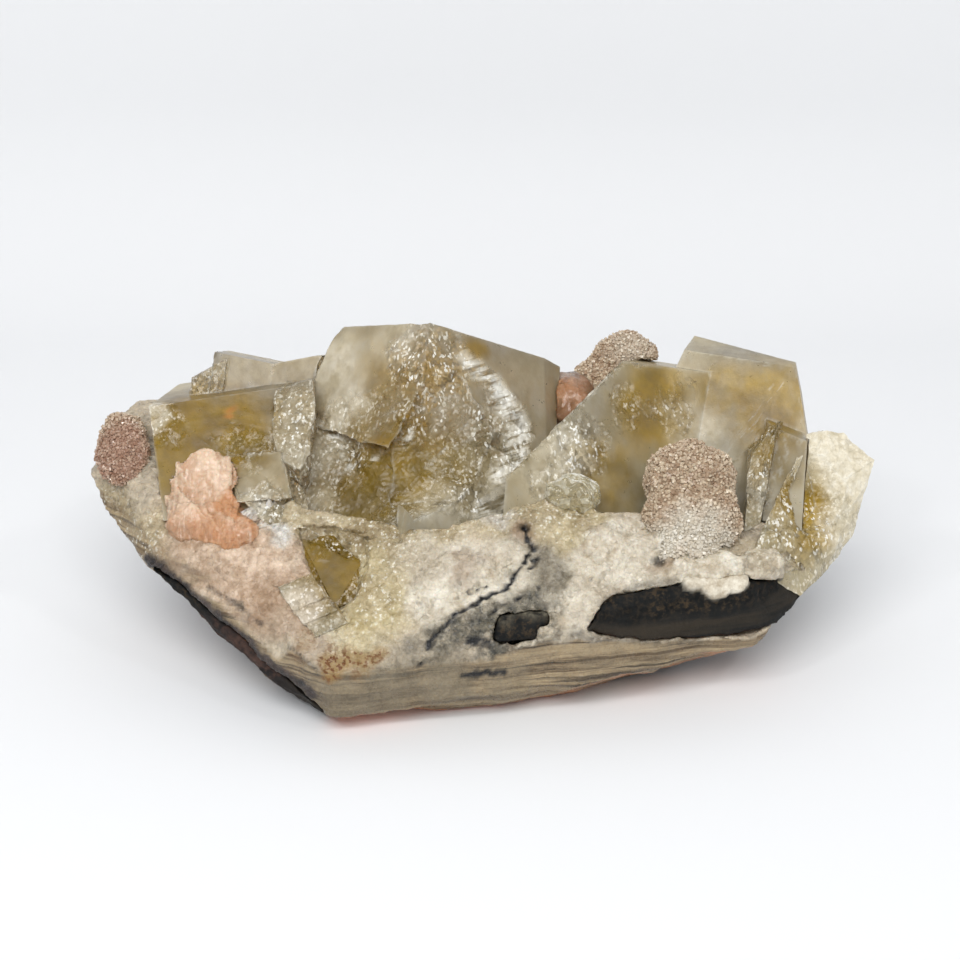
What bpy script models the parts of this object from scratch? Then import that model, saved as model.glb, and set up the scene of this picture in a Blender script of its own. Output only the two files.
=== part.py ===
"""Calcite specimen: honey calcite crystals, stilbite and druse on chalcedony and basalt.

The specimen is about 180 mm long, 92 mm deep and 72 mm high. X runs along it, Y runs
from front to back and Z is up. Corners are written in millimetres and turned into metres
by at(). It rests on a flat facet of its broken underside.
"""

import math

import bmesh
import bpy
from mathutils import Matrix, Vector, noise
from mathutils.bvhtree import BVHTree

MM = 0.001

# Driving dimensions, in metres
SEAM_GAP = 0.3 * MM  # space left between the basalt and its crust
SOCKET_GROWTH = 0.8 * MM  # how much larger a socket is than the crystal in it
CORNER_GROWTH = 0.05 * MM
ROCK_BUMP = 1.1 * MM
ROCK_BUMP_LENGTH = 13 * MM
SEAM_BUMP = 1.3 * MM
SEAM_BUMP_LENGTH = 7 * MM
SEAM_SHOWS_BEFORE = -14 * MM  # the seam of the rocks is uneven in front of this depth, where it shows
FRACTURE_BUMP = 0.7 * MM
FRACTURE_BUMP_LENGTH = 6 * MM
BLADE_WIDTH = 3.2 * MM
BLADE_THICKNESS = 4.2 * MM
BLADE_OUTLINE = ((0, 0.4, 1), (0.75, 1, 1.2), (1, 0.5, 0.6))  # share of length, of width and of thickness
CENTRE_FOOT = 22  # how high the hidden feet of the large crystals stand, in millimetres
LEFT_FOOT = 35
RIGHT_FOOT = 24
DRUSE_POINT = 1.0 * MM
DRUSE_LEAST = 0.5  # share of DRUSE_POINT that the lowest crystal of a druse has
DRUSE_CLEARANCE = 2.2 * MM  # no point stands closer than this to a neighbour

# How finely the pieces are modelled
ROCK_VOXEL = 1.6 * MM
LUMP_VOXEL = 1.2 * MM
FINE_VOXEL = 0.7 * MM
SOCKET_VOXEL = 0.6 * MM
WINDOW_STEP = 8 * MM
CHUNK_STEP = 9 * MM
ROCK_TRIANGLES = 1100
CRUST_TRIANGLES = 3500
SEAM_TRIANGLES = 400
LUMP_TRIANGLES = 420
SOCKET_TRIANGLES = 130
SHEAF_TRIANGLES = 520
BACK_TRIANGLES = 150
DRUSE_FACES = 190
FAN_BLADES = 8
CLEAVAGE_STEPS = 3

NOISE_OCTAVES = 4
NOISE_ROUGHNESS = 0.8
NOISE_LACUNARITY = 2.1

# Where the rock is hollow behind its front edge, and the pit of the small honey crystal
CENTRE_HOLLOW = (
    (-50, -11, 32), (-40, -15, 28), (-18, -21.5, 27), (-9, -22.5, 27), (8, -17.5, 28), (14, -6, 28), (-40, 2, 29),
    (-52, -13, 46), (-40, -16.5, 46), (-18, -23, 46), (-9, -24, 46), (8, -18.5, 46), (16, -4, 46), (-44, 4, 46),
)
RIGHT_HOLLOW = (
    (10, -15, 29), (30, -17.5, 29), (58, -17.5, 27), (64, -12, 27), (64, 0, 28), (14, -2, 29),
    (8, -17, 50), (30, -19, 50), (60, -19, 50), (66, -12, 50), (66, 2, 50), (12, 0, 50),
)
FRONT_PIT = (
    (-41, -19.5, 35), (-31, -20.5, 36), (-23, -24, 35), (-24.5, -31, 30), (-26, -36, 27), (-30, -39.5, 25),
    (-33, -38, 27), (-38.5, -29, 32), (-37, -20, 27), (-28, -24, 26), (-28, -33, 20), (-34, -29, 22),
)

# Material of each piece: name, colour, roughness, transmission
MATERIALS = {
    "basalt_matrix": ("basalt", (0.045, 0.038, 0.033), 0.85, 0.0),
    "chalcedony_crust": ("chalcedony", (0.62, 0.56, 0.46), 0.6, 0.0),
    "calcite_centre": ("calcite centre", (0.56, 0.5, 0.34), 0.3, 0.7),
    "calcite_left_cluster": ("calcite left", (0.52, 0.42, 0.22), 0.35, 0.6),
    "calcite_right_cluster": ("calcite right", (0.5, 0.47, 0.3), 0.32, 0.7),
    "calcite_front_left": ("calcite front left", (0.55, 0.45, 0.22), 0.35, 0.6),
    "calcite_far_right": ("calcite far right", (0.66, 0.56, 0.33), 0.4, 0.4),
    "calcite_chip": ("calcite chip", (0.7, 0.68, 0.56), 0.1, 0.9),
    "stilbite_sheaf": ("stilbite sheaf", (0.76, 0.45, 0.31), 0.35, 0.2),
    "stilbite_back": ("stilbite back", (0.68, 0.4, 0.3), 0.4, 0.1),
    "druse_left": ("druse left", (0.55, 0.34, 0.27), 0.5, 0.0),
    "druse_knob_front": ("druse knob front", (0.6, 0.45, 0.34), 0.5, 0.0),
    "druse_knob_back": ("druse knob back", (0.62, 0.47, 0.37), 0.5, 0.0),
}


def at(x, y, z):
    return Vector((x, y, z)) * MM


def all_at(*corners):
    return [at(*corner) for corner in corners]


def level(height):
    """Three points of the flat plane at a height."""
    return all_at((0, 0, height), (10, 0, height), (0, 10, height))


# Scene and materials


def clear_scene():
    for obj in list(bpy.data.objects):
        bpy.data.objects.remove(obj, do_unlink=True)


def new_collection(name, hidden=False):
    collection = bpy.data.collections.new(name)
    collection.hide_render = hidden
    bpy.context.scene.collection.children.link(collection)
    return collection


def give_material(obj, name, colour, roughness, transmission):
    material = bpy.data.materials.new(name)
    material.use_nodes = True
    material.diffuse_color = (*colour, 1.0)
    shader = material.node_tree.nodes["Principled BSDF"]
    shader.inputs["Base Color"].default_value = (*colour, 1.0)
    shader.inputs["Roughness"].default_value = roughness
    shader.inputs["Transmission Weight"].default_value = transmission
    obj.data.materials.clear()
    obj.data.materials.append(material)


def add_object(name, bm, collection):
    """Turns a finished bmesh into an object, with its faces pointing out."""
    bmesh.ops.recalc_face_normals(bm, faces=bm.faces)
    mesh = bpy.data.meshes.new(name)
    bm.to_mesh(mesh)
    bm.free()
    obj = bpy.data.objects.new(name, mesh)
    collection.objects.link(obj)
    return obj


def edit(obj, change):
    """Runs change(bm) on the object's mesh and leaves its faces pointing out."""
    bm = bmesh.new()
    bm.from_mesh(obj.data)
    change(bm)
    bmesh.ops.recalc_face_normals(bm, faces=bm.faces)
    bm.to_mesh(obj.data)
    bm.free()


# Raw shapes


def hull(corners):
    """The smallest convex body that holds the corners."""
    bm = bmesh.new()
    for corner in corners:
        bm.verts.new(corner)
    bmesh.ops.convex_hull(bm, input=bm.verts, use_existing_faces=False)
    bmesh.ops.delete(bm, geom=[v for v in bm.verts if not v.link_faces], context="VERTS")
    return bm


def cut_flat(bm, point, outward):
    """Cuts away what lies past a plane and closes the cut with one flat face."""
    cut = bmesh.ops.bisect_plane(
        bm, geom=bm.verts[:] + bm.edges[:] + bm.faces[:], plane_co=point, plane_no=outward, clear_outer=True
    )
    rim = [edge for edge in cut["geom_cut"] if isinstance(edge, bmesh.types.BMEdge)]
    if rim:
        bmesh.ops.edgeloop_fill(bm, edges=rim)


def rhomb(corner, right, down, back, facets=()):
    """A calcite rhombohedron, from its top front corner along three edges.

    Each facet is three points of a plane that trims it, and the middle of the body stays.
    """
    axes = Matrix((right, down, back)).transposed().to_4x4()
    middle = corner + (right + down + back) / 2
    bm = bmesh.new()
    bmesh.ops.create_cube(bm, size=1.0, matrix=Matrix.Translation(middle) @ axes)
    for a, b, c in facets:
        outward = (b - a).cross(c - a).normalized()
        if outward.dot(middle - a) > 0:
            outward.negate()
        cut_flat(bm, a, outward)
    return bm


def lump(centre, radii, subdivisions=3):
    bm = bmesh.new()
    place = Matrix.Translation(centre) @ Matrix.Diagonal((*radii, 1.0))
    bmesh.ops.create_icosphere(bm, subdivisions=subdivisions, radius=1.0, matrix=place)
    return bm


def bumpiness(point, length):
    return noise.fractal(
        point / length, NOISE_ROUGHNESS, NOISE_LACUNARITY, NOISE_OCTAVES, noise_basis="PERLIN_ORIGINAL"
    )


def roughen(bm, height, length, only_before=math.inf):
    """Moves the surface in and out by noise, where its depth is before the given one."""
    bm.normal_update()
    moves = [(v, v.normal * bumpiness(v.co, length) * height) for v in bm.verts if v.co.y < only_before]
    for v, move in moves:
        v.co += move


def break_up(bm, longest):
    """Splits edges until none is longer than longest."""
    bmesh.ops.triangulate(bm, faces=bm.faces)
    while long_edges := [e for e in bm.edges if e.calc_length() > longest]:
        bmesh.ops.subdivide_edges(bm, edges=long_edges, cuts=1)
        bmesh.ops.triangulate(bm, faces=bm.faces)


def broken_hull(corners, longest):
    """A hull with an uneven, freshly broken surface."""
    bm = hull(corners)
    break_up(bm, longest)
    roughen(bm, FRACTURE_BUMP, FRACTURE_BUMP_LENGTH)
    return bm


# Fitting pieces to each other


def apply_modifiers(obj):
    graph = bpy.context.evaluated_depsgraph_get()
    finished = bpy.data.meshes.new_from_object(obj.evaluated_get(graph))
    old = obj.data
    obj.modifiers.clear()
    obj.data = finished
    bpy.data.meshes.remove(old)
    obj.data.name = obj.name


def boolean(obj, other, operation, solver="EXACT"):
    modifier = obj.modifiers.new(operation.title(), "BOOLEAN")
    modifier.solver = solver
    modifier.operation = operation
    modifier.object = other
    apply_modifiers(obj)


def copy_of(obj, name, collection):
    copy = obj.copy()
    copy.data = obj.data.copy()
    copy.name = name
    collection.objects.link(copy)
    return copy


def grow(obj, distance):
    def change(bm):
        bm.normal_update()
        moves = [(v, v.normal * distance) for v in bm.verts]
        for v, move in moves:
            v.co += move

    edit(obj, change)


def remesh(obj, voxel):
    modifier = obj.modifiers.new("Remesh", "REMESH")
    modifier.mode = "VOXEL"
    modifier.voxel_size = voxel
    apply_modifiers(obj)


def thin_out(obj, triangles):
    edit(obj, lambda bm: bmesh.ops.triangulate(bm, faces=bm.faces))
    modifier = obj.modifiers.new("Decimate", "DECIMATE")
    modifier.ratio = min(1.0, triangles / len(obj.data.polygons))
    apply_modifiers(obj)


def join(obj, *others):
    """Grows the others together with obj into one body."""
    for other in others:
        boolean(obj, other, "UNION")
        bpy.data.objects.remove(other, do_unlink=True)
    return obj


def cut_grown(obj, cutter, distance):
    grow(cutter, distance)
    boolean(obj, cutter, "DIFFERENCE", "MANIFOLD")
    bpy.data.objects.remove(cutter, do_unlink=True)


def make_room(obj, *neighbours, triangles=None):
    """Cuts a socket in obj for each neighbour: its shape, simpler and a little larger.

    The last cuts take what a sharp corner would still touch.
    """
    for neighbour in neighbours:
        socket = copy_of(neighbour, "socket", CUTTERS)
        remesh(socket, SOCKET_VOXEL)
        thin_out(socket, SOCKET_TRIANGLES)
        cut_grown(obj, socket, SOCKET_GROWTH)
    if triangles:
        thin_out(obj, triangles)
    for neighbour in neighbours:
        for growth in (CORNER_GROWTH, 0.0):
            cut_grown(obj, copy_of(neighbour, "corners", CUTTERS), growth)
    keep_main_body(obj)


def volume_of(faces):
    six_times = 0.0
    for face in faces:
        corners = [loop.vert.co for loop in face.loops]
        for i in range(1, len(corners) - 1):
            six_times += corners[0].dot(corners[i].cross(corners[i + 1]))
    return abs(six_times) / 6


def keep_main_body(obj):
    """Drops the loose crumbs that a cut leaves."""

    def change(bm):
        left = set(bm.faces)
        bodies = []
        while left:
            body = {left.pop()}
            edge_of_growth = list(body)
            while edge_of_growth:
                face = edge_of_growth.pop()
                for edge in face.edges:
                    for near in edge.link_faces:
                        if near in left:
                            left.remove(near)
                            body.add(near)
                            edge_of_growth.append(near)
            bodies.append(body)
        bodies.sort(key=volume_of)
        crumbs = [face for body in bodies[:-1] for face in body]
        bmesh.ops.delete(bm, geom=crumbs, context="FACES")

    edit(obj, change)


def fuse(name, shapes, voxel, triangles, bump=0.0, length=ROCK_BUMP_LENGTH, only_before=math.inf):
    """Grows overlapping shapes into one body with a soft seam, roughens it and thins it."""
    mesh = bpy.data.meshes.new(name)
    together = bmesh.new()
    for shape in shapes:
        bmesh.ops.recalc_face_normals(shape, faces=shape.faces)
        shape.to_mesh(mesh)
        shape.free()
        together.from_mesh(mesh)
    bpy.data.meshes.remove(mesh)
    obj = add_object(name, together, CUTTERS)
    remesh(obj, voxel)
    edit(obj, lambda bm: roughen(bm, bump, length, only_before))
    thin_out(obj, triangles)
    return obj


def make_piece(obj, name):
    """Names a finished shape and puts it with the pieces."""
    for collection in list(obj.users_collection):
        collection.objects.unlink(obj)
    PARTS.objects.link(obj)
    obj.name = name
    obj.data.name = name
    return obj


# Rock


def outer_rock():
    """The whole rock as broken off: a keel in front, both ends rising, a flat rest below."""
    lower_rim = all_at(
        (-90, 0, 41), (-85, -8, 31), (-73, -22, 25.5), (-52, -38, 13.5), (-32, -50, 4), (19, -42.5, 7.5),
        (61, -34.5, 13.5), (71, -26, 18.5), (86, -9, 27), (88, 0, 33),
    )
    upper_rim = all_at(
        (-33, -51.5, 16), (-54, -33, 23.5), (-10, -46.5, 16.5), (17, -42, 21), (46, -36.5, 27), (58, -33, 28),
    )
    shoulder = all_at(
        (-77, -9, 41), (-53, -17, 35), (-40, -18, 32.5), (-14, -25, 34.5), (6, -20, 36.5), (27, -21, 37.5),
        (60, -21, 31), (79, -2, 33), (-86.5, 10, 45.5), (-81.5, 16, 48.5), (-60, 30, 44), (-20, 37, 43),
        (22, 37, 43), (62, 36, 43), (79, 22, 38),
    )
    back_and_base = all_at(
        (84, 16, 32), (60, 38, 22), (15, 41, 12), (-40, 40, 14), (-76, 22, 28), (-36, -36, -2), (10, -34, -2),
        (42, -20, -2), (44, 14, -2), (10, 30, -2), (-36, 28, -2), (-52, 6, -2), (-50, -20, -2),
    )
    shape = hull(lower_rim + upper_rim + shoulder + back_and_base)
    rock = fuse("outer_rock", [shape], ROCK_VOXEL, ROCK_TRIANGLES, ROCK_BUMP)
    for name, corners in (("centre_hollow", CENTRE_HOLLOW), ("right_hollow", RIGHT_HOLLOW), ("pit", FRONT_PIT)):
        hollow = add_object(name, broken_hull(all_at(*corners), WINDOW_STEP), CUTTERS)
        boolean(rock, hollow, "DIFFERENCE")
        bpy.data.objects.remove(hollow, do_unlink=True)
    edit(rock, lambda bm: cut_flat(bm, at(0, 0, 0), Vector((0, 0, -1))))
    return rock


def basalt_extent():
    """Where the rock is basalt: the core, the band under the left rim, and the lenses in front."""
    core = hull(all_at(
        (-64, -14, -20), (66, -22, -20), (-86, 20, 34), (84, 24, 33), (-80, 60, 34), (84, 60, 34), (-60, 60, -20),
        (66, 60, -20), (-70, -8, 22), (92, 4, 33), (96, 4, 20), (-40, -30, 2), (20, -30, 2), (50, -22, 20),
    ))
    left_band = hull(all_at(
        (-74, -21, 26), (-64.5, -28, 22.5), (-54, -35, 18.5), (-43, -43, 13), (-34, -47.5, 6.5), (-90, -30, 20),
        (-60, -60, 0), (-38, -62, -6), (-30, -44, -8), (-40, -20, 4), (-62, -8, 20),
    ))
    right_lens = hull(all_at(
        (20, -44, 21), (28, -38, 28.5), (42, -38, 30), (58, -35, 29.5), (72, -28, 25), (82, -20, 24),
        (70, -29, 19), (63, -35, 16.5), (47, -42, 17.5), (24, -44, 21), (28, -20, 12), (60, -14, 12),
        (38, -48, 24), (60, -42, 22),
    ))
    small_lens = hull(all_at(
        (1.3, -47, 23.6), (4.2, -47, 28), (10.4, -47, 29.7), (15.1, -47, 28.7), (15.1, -47, 23.6), (8.4, -47, 21.4),
        (1.4, -12, 2.1), (4.6, -12, 6.9), (11.5, -12, 8.8), (16.6, -12, 7.8), (16.7, -12, 2.1), (9.3, -12, 0),
    ))
    shapes = [core, left_band, right_lens, small_lens]
    return fuse(
        "basalt_extent", shapes, ROCK_VOXEL, SEAM_TRIANGLES, SEAM_BUMP, SEAM_BUMP_LENGTH, SEAM_SHOWS_BEFORE
    )


def white_lumps():
    """The rounded lumps that stand out of the front slope, as (centre, radii)."""
    places = (
        ((-2.2, -29.5, 27), (10, 6.5, 7)),
        ((-9.5, -33, 25), (8, 6, 6)),
        ((6, -27, 29), (8, 5.5, 6)),
        ((20, -34, 24.5), (6, 4, 5)),
        ((25, -29.5, 27.5), (6, 5, 5)),
        ((27, -24, 31.5), (7, 5, 5.5)),
        ((34, -26, 30), (6, 5, 5)),
        ((39, -25, 31.5), (5, 4.5, 4.5)),
        ((44, -30, 28.5), (5, 4.5, 4.5)),
        ((52, -29, 28.5), (6.5, 5, 5.5)),
        ((61, -27, 28), (6, 5, 5)),
    )
    shapes = [lump(at(*centre), at(*radii)) for centre, radii in places]
    return fuse("white_lumps", shapes, LUMP_VOXEL, LUMP_TRIANGLES, FRACTURE_BUMP, FRACTURE_BUMP_LENGTH)


def rocks(crystals):
    """The basalt and the crust, which share one broken outer surface."""
    whole = outer_rock()
    extent = basalt_extent()
    basalt = make_piece(copy_of(whole, "basalt", CUTTERS), "basalt_matrix")
    boolean(basalt, extent, "INTERSECT")
    keep_main_body(basalt)
    crust = make_piece(join(copy_of(whole, "crust", CUTTERS), white_lumps()), "chalcedony_crust")
    cut_grown(crust, extent, SEAM_GAP)
    make_room(basalt, *crystals)
    make_room(crust, basalt, *crystals, triangles=CRUST_TRIANGLES)
    bpy.data.objects.remove(whole, do_unlink=True)
    return basalt, crust


# Crystals


def calcite_centre():
    """The large crystal: two front faces that meet at a corner, with its front broken open."""
    corner = at(-11.2, 8, 71.5)
    right_shoulder, right_foot = at(14.8, 17, 59), at(6, -17, 34)
    left_side = at(-38.1, 14, 55.8)
    bm = rhomb(
        corner,
        right=at(32.5, 11.3, -15.6),
        down=at(-7.9, -41.3, -48.4),
        back=at(-25.4, 14, -7),
        facets=(
            all_at((-31.2, 18.8, 66.4), (-33.8, 18.5, 63.9), (-26, 30, 60)),
            (at(-33.8, 18.5, 63.9), left_side, at(-34, 34, 54)),
            (right_shoulder, right_foot, at(18.2, 21, 56.8)),
            level(CENTRE_FOOT),
        ),
    )
    crystal = add_object("calcite_centre", bm, PARTS)
    for scoop in broken_window():
        boolean(crystal, scoop, "DIFFERENCE")
        bpy.data.objects.remove(scoop, do_unlink=True)
    keep_main_body(crystal)
    return crystal


def broken_window():
    """The hollow left where the crystal's front broke away: a right part and a lower left part."""
    right = all_at(
        (-9, 3, 67.8), (-3.2, 5.4, 63.1), (4, 4.6, 56.8), (9.6, 2.4, 49.8), (9.4, -4.6, 43.4), (6.5, -13, 38.4),
        (-6, -24.4, 37.2), (-10, -27, 36.4), (-17, -9, 50), (-22, -6, 45), (-20, -12, 36), (-8, -2, 45),
        (-3, -30, 62), (8, -24, 52), (-16, -32, 50), (-14, -12, 56),
    )
    left = all_at(
        (-38.5, 6, 46.8), (-34, 5.5, 46), (-30, -0.5, 41), (-22, -4, 44), (-17, -6, 48), (-16, -14, 38),
        (-18, -24, 31.5), (-36, -13, 28.6), (-41, -6, 32), (-38, -20, 40), (-24, -28, 46), (-34, -10, 47),
    )
    return [
        add_object(name, broken_hull(corners, WINDOW_STEP), CUTTERS)
        for name, corners in (("window_right", right), ("window_left", left))
    ]


def calcite_left_cluster():
    """A honey block with grey crystals behind it, a ragged chunk and two steps in front."""
    front = rhomb(
        at(-75, 3, 53.2),
        right=at(31, 6.9, 1.8),
        down=at(5.6, -23, -20),
        back=at(-2, 24, -6),
        facets=(level(LEFT_FOOT), all_at((-75, 3, 53.2), (-79, -6, 43), (-73, 26, 45))),
    )
    grey_back = rhomb(
        at(-61.3, 17.5, 60.3),
        right=at(15, 0.6, -3.6),
        down=at(-3, -18, -21),
        back=at(1, 15, -6),
        facets=(
            all_at((-61.3, 17.5, 60.3), (-63.4, 12, 57), (-64.2, 15, 57.9)),
            all_at((-47.5, 18.2, 57), (-46, 10, 50), (-46, 32, 50)),
        ),
    )
    left_shoulder = rhomb(at(-66.5, 14, 55.5), at(8, 2, 3.5), at(-2, -12, -14), at(1, 16, -5))
    second_back = rhomb(
        at(-49.5, 18, 56.8),
        right=at(16, -1, 3.8),
        down=at(-1, -18, -21),
        back=at(1, 15, -6),
        facets=(all_at((-43.6, 17.5, 58.8), (-34, 17, 59.8), (-40, 30, 54)),),
    )
    chunk = broken_hull(
        all_at(
            (-46.5, 7, 55.4), (-38.2, 8, 58), (-37.4, 0, 52.4), (-38, -7, 46), (-40, -10, 43.6), (-45, -7.5, 45.2),
            (-47, 0, 51), (-44, 14, 54), (-38, 14, 55), (-46, 8, 36), (-38, 8, 36), (-40, -8, 36), (-45, -6, 36),
        ),
        CHUNK_STEP,
    )
    striated_step = rhomb(at(-56.8, -5.5, 45), at(12.4, -1, 1.4), at(3, -10, -6.5), at(0.5, 10, -4))
    bright_step = hull(all_at(
        (-53.4, -14.6, 39.7), (-42.6, -13, 40), (-44.6, -20.5, 32.3), (-53, -4, 36), (-42, -4, 36),
        (-46, -14, 30), (-42, -10, 32),
    ))
    grown_on = {
        "grey_back": grey_back, "left_shoulder": left_shoulder, "second_back": second_back, "ragged_chunk": chunk,
        "striated_step": striated_step, "bright_step": bright_step,
    }
    cluster = add_object("calcite_left_cluster", front, PARTS)
    return join(cluster, *[add_object(name, bm, CUTTERS) for name, bm in grown_on.items()])


def calcite_right_cluster():
    """Two large crystals, a thin blade along their right side and a darker step behind it."""
    front = rhomb(
        at(9.6, 11.5, 64.3),
        right=at(57, 6.2, -11.6),
        down=at(-6, -40, -32),
        back=at(5, 20, -8),
        facets=(
            all_at((32.7, 14, 59.6), (18, -1.4, 51.1), (30, 26, 44)),
            all_at((15, -4.4, 49.5), (18, -1.4, 51.1), (17, -14, 36)),
            all_at((54, 16.4, 55), (66, -11, 31), (60, 30, 44)),
            level(RIGHT_FOOT),
        ),
    )
    ridge_left, ridge_right = at(48.2, 26, 57.2), at(73.9, 20, 55.5)
    back = rhomb(
        at(38, 28.4, 57.9),
        right=at(38.5, -9, -2.6),
        down=at(-1.2, -30, -30),
        back=at(4, 12, -1),
        facets=(
            (ridge_left, at(51.8, 36, 57.4), at(42, 20, 44)),
            all_at((51.8, 36.5, 57.4), (73.1, 24, 55.2), (60, 36, 44)),
            all_at((72.4, 20, 55.4), (58.2, 9.4, 42.4), (74.6, 13, 46.5)),
            (ridge_right, at(75, 11, 46.8), at(76.4, 30, 50)),
        ),
    )
    blade = hull(all_at(
        (67.6, 2, 50), (63.8, -6.5, 43), (62.3, -16, 33.4), (58.6, -18, 32.4), (60, -9, 41), (61.4, -4, 44.8),
        (70, 10, 46), (64, -6, 30), (60, -8, 28), (62, 8, 40),
    ))
    dark_step = rhomb(at(66, 4, 47.8), at(8.4, -3, -2.4), at(-3.4, -21, -18.5), at(1, 16, -4))
    cluster = add_object("calcite_right_cluster", front, PARTS)
    return join(
        cluster,
        add_object("back_crystal", back, CUTTERS),
        add_object("blade", blade, CUTTERS),
        add_object("dark_step", dark_step, CUTTERS),
    )


def calcite_front_left():
    """A small honey crystal in a pit of the slope, with stepped cleavage blocks on its left."""
    honey = hull(all_at(
        (-39.5, -21, 32.2), (-32, -20, 32.2), (-25.8, -26.5, 29.2), (-26.8, -33.6, 23.6), (-31.4, -35, 23),
        (-38, -27, 28), (-38, -14, 22), (-26, -18, 18), (-30, -28, 14),
    ))
    crystal = add_object("calcite_front_left", honey, PARTS)
    steps = []
    for i in range(CLEAVAGE_STEPS):
        top_corner = at(-43.5, -34, 27.5) + at(2.4, -2.2, -2) * i
        step = rhomb(top_corner, at(7, 3.4, 1.6), at(3.5, -5, -3), at(1.5, 3, -7))
        steps.append(add_object(f"cleavage_step_{i}", step, CUTTERS))
    return join(crystal, *steps)


def calcite_far_right():
    """The broken chunk at the right end, hollow on its left and rimmed on its right."""
    bm = broken_hull(
        all_at(
            (74.8, 3, 46), (79.3, 4, 46.6), (83, 4, 46), (85, 2, 42.6), (89.5, 0, 41), (88, -3, 37.3),
            (86.8, -6, 34), (85.4, -9, 28.2), (80.8, -14, 23.4), (71, -25, 19.6), (58, -27, 29), (63, -20, 33.4),
            (70, -13, 36.4), (73.4, -5, 41.4), (78, 12, 42), (86, 6, 40), (80, 6, 26), (66, -10, 22),
        ),
        CHUNK_STEP,
    )
    chunk = add_object("calcite_far_right", bm, PARTS)
    hollow = broken_hull(
        all_at(
            (73, -1, 47), (79, -1, 45), (83, -6, 38), (79.5, -13, 31), (70, -18, 31), (66, -12, 38), (68, -20, 46),
            (80, -16, 44), (75, -3, 37), (76, -7, 33),
        ),
        CHUNK_STEP,
    )
    scoop = add_object("far_right_hollow", hollow, CUTTERS)
    boolean(chunk, scoop, "DIFFERENCE")
    bpy.data.objects.remove(scoop, do_unlink=True)
    return chunk


def calcite_chip():
    bm = lump(at(20.4, -14.5, 39.6), at(6.6, 4.6, 5), subdivisions=2)
    roughen(bm, FRACTURE_BUMP, FRACTURE_BUMP_LENGTH)
    return add_object("calcite_chip", bm, PARTS)


# Stilbite


def blade_shape(root, tip, side, width, thickness):
    """A thin blade that widens from its root to a blunt, rounded tip."""
    along = tip - root
    across = along.cross(side).normalized() * width / 2
    up = across.cross(along).normalized() * thickness / 2
    corners = []
    for share, half_width, half_thickness in BLADE_OUTLINE:
        for sign_across in (-1, 1):
            for sign_up in (-1, 1):
                reach = across * half_width * sign_across + up * half_thickness * sign_up
                corners.append(root + along * share + reach)
    return hull(corners)


def stilbite_sheaf():
    """A fan of blades that opens up and to the left, over smooth lower lobes."""
    root = at(-55, -20, 30)
    first, last = at(-73, -10, 39), at(-54, -7, 43.5)
    crown = at(0, 3, 4.5)
    shapes = [lump(at(-57, -14, 34), at(6, 6, 4))]
    for i in range(FAN_BLADES):
        share = i / (FAN_BLADES - 1)
        tip = first.lerp(last, share) + crown * math.sin(math.pi * share)
        shapes.append(blade_shape(root, tip, Vector((0, -0.6, 1)), BLADE_WIDTH, BLADE_THICKNESS))
    for centre, radii in (
        ((-61, -17, 34), (9, 5.5, 5.5)),
        ((-55, -20.5, 33), (7, 4.5, 4.5)),
        ((-65, -13, 36), (6, 5, 4.5)),
    ):
        shapes.append(lump(at(*centre), at(*radii)))
    sheaf = fuse("stilbite", shapes, FINE_VOXEL, SHEAF_TRIANGLES)
    return make_piece(sheaf, "stilbite_sheaf")


def stilbite_back():
    shapes = [lump(at(21, 19, 46), at(6.5, 9, 8)), lump(at(22, 24, 44), at(6, 7, 7))]
    mass = fuse("salmon", shapes, FINE_VOXEL, BACK_TRIANGLES, FRACTURE_BUMP, FRACTURE_BUMP_LENGTH)
    return make_piece(mass, "stilbite_back")


# Druse


def druse_patch(name, *shapes):
    """Overlapping shapes grown together. The small points come once the patch is fitted."""
    return make_piece(fuse(name, shapes, FINE_VOXEL, DRUSE_FACES), name)


def raise_druse(patch, neighbours):
    """Raises a small pointed crystal on every face that stands clear of the neighbours."""
    surroundings = []
    for neighbour in neighbours:
        bm = bmesh.new()
        bm.from_mesh(neighbour.data)
        surroundings.append(BVHTree.FromBMesh(bm))
        bm.free()

    def change(bm):
        free = [
            face
            for face in bm.faces
            if all(near.find_nearest(face.calc_center_median())[3] > DRUSE_CLEARANCE for near in surroundings)
        ]
        tips = bmesh.ops.poke(bm, faces=free)["verts"]
        bm.normal_update()
        for tip in tips:
            tip.co += tip.normal * DRUSE_POINT * (DRUSE_LEAST + noise.cell(tip.co / DRUSE_POINT))

    edit(patch, change)


def druse_patches():
    left_end = hull(all_at(
        (-84, 6, 50.5), (-79.5, 2, 51), (-76, -1, 49), (-74.5, -3, 46), (-74.8, -7, 43), (-77, -9, 41),
        (-80.7, -10, 39), (-84.5, -7.5, 39.5), (-88, -1, 42.3), (-87, 4, 46.5), (-81, -7.5, 46.5), (-80, 10, 44),
        (-84, 6, 38), (-76, 4, 38), (-78, 8, 48),
    ))
    left = druse_patch("druse_left", left_end)
    front = druse_patch(
        "druse_knob_front", lump(at(46.6, -12, 42), at(10.2, 8.5, 8.6)), lump(at(46.5, -19, 35), at(11.4, 8, 10)),
        lump(at(45, -25, 31), at(8, 5, 6)),
    )
    back = druse_patch(
        "druse_knob_back", lump(at(34.8, 30, 51.5), at(8.2, 7.5, 8.2)), lump(at(29, 27, 46), at(8, 8, 8))
    )
    return [left, front, back]


# The whole specimen


def stand_on_origin(objects):
    """Moves the pieces together so that the middle of their base is the origin."""
    corners = [obj.matrix_world @ v.co for obj in objects for v in obj.data.vertices]
    low = Vector(min(c[i] for c in corners) for i in range(3))
    high = Vector(max(c[i] for c in corners) for i in range(3))
    shift = Vector((-(low.x + high.x) / 2, -(low.y + high.y) / 2, -low.z))
    for obj in objects:
        obj.data.transform(Matrix.Translation(shift))


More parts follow.
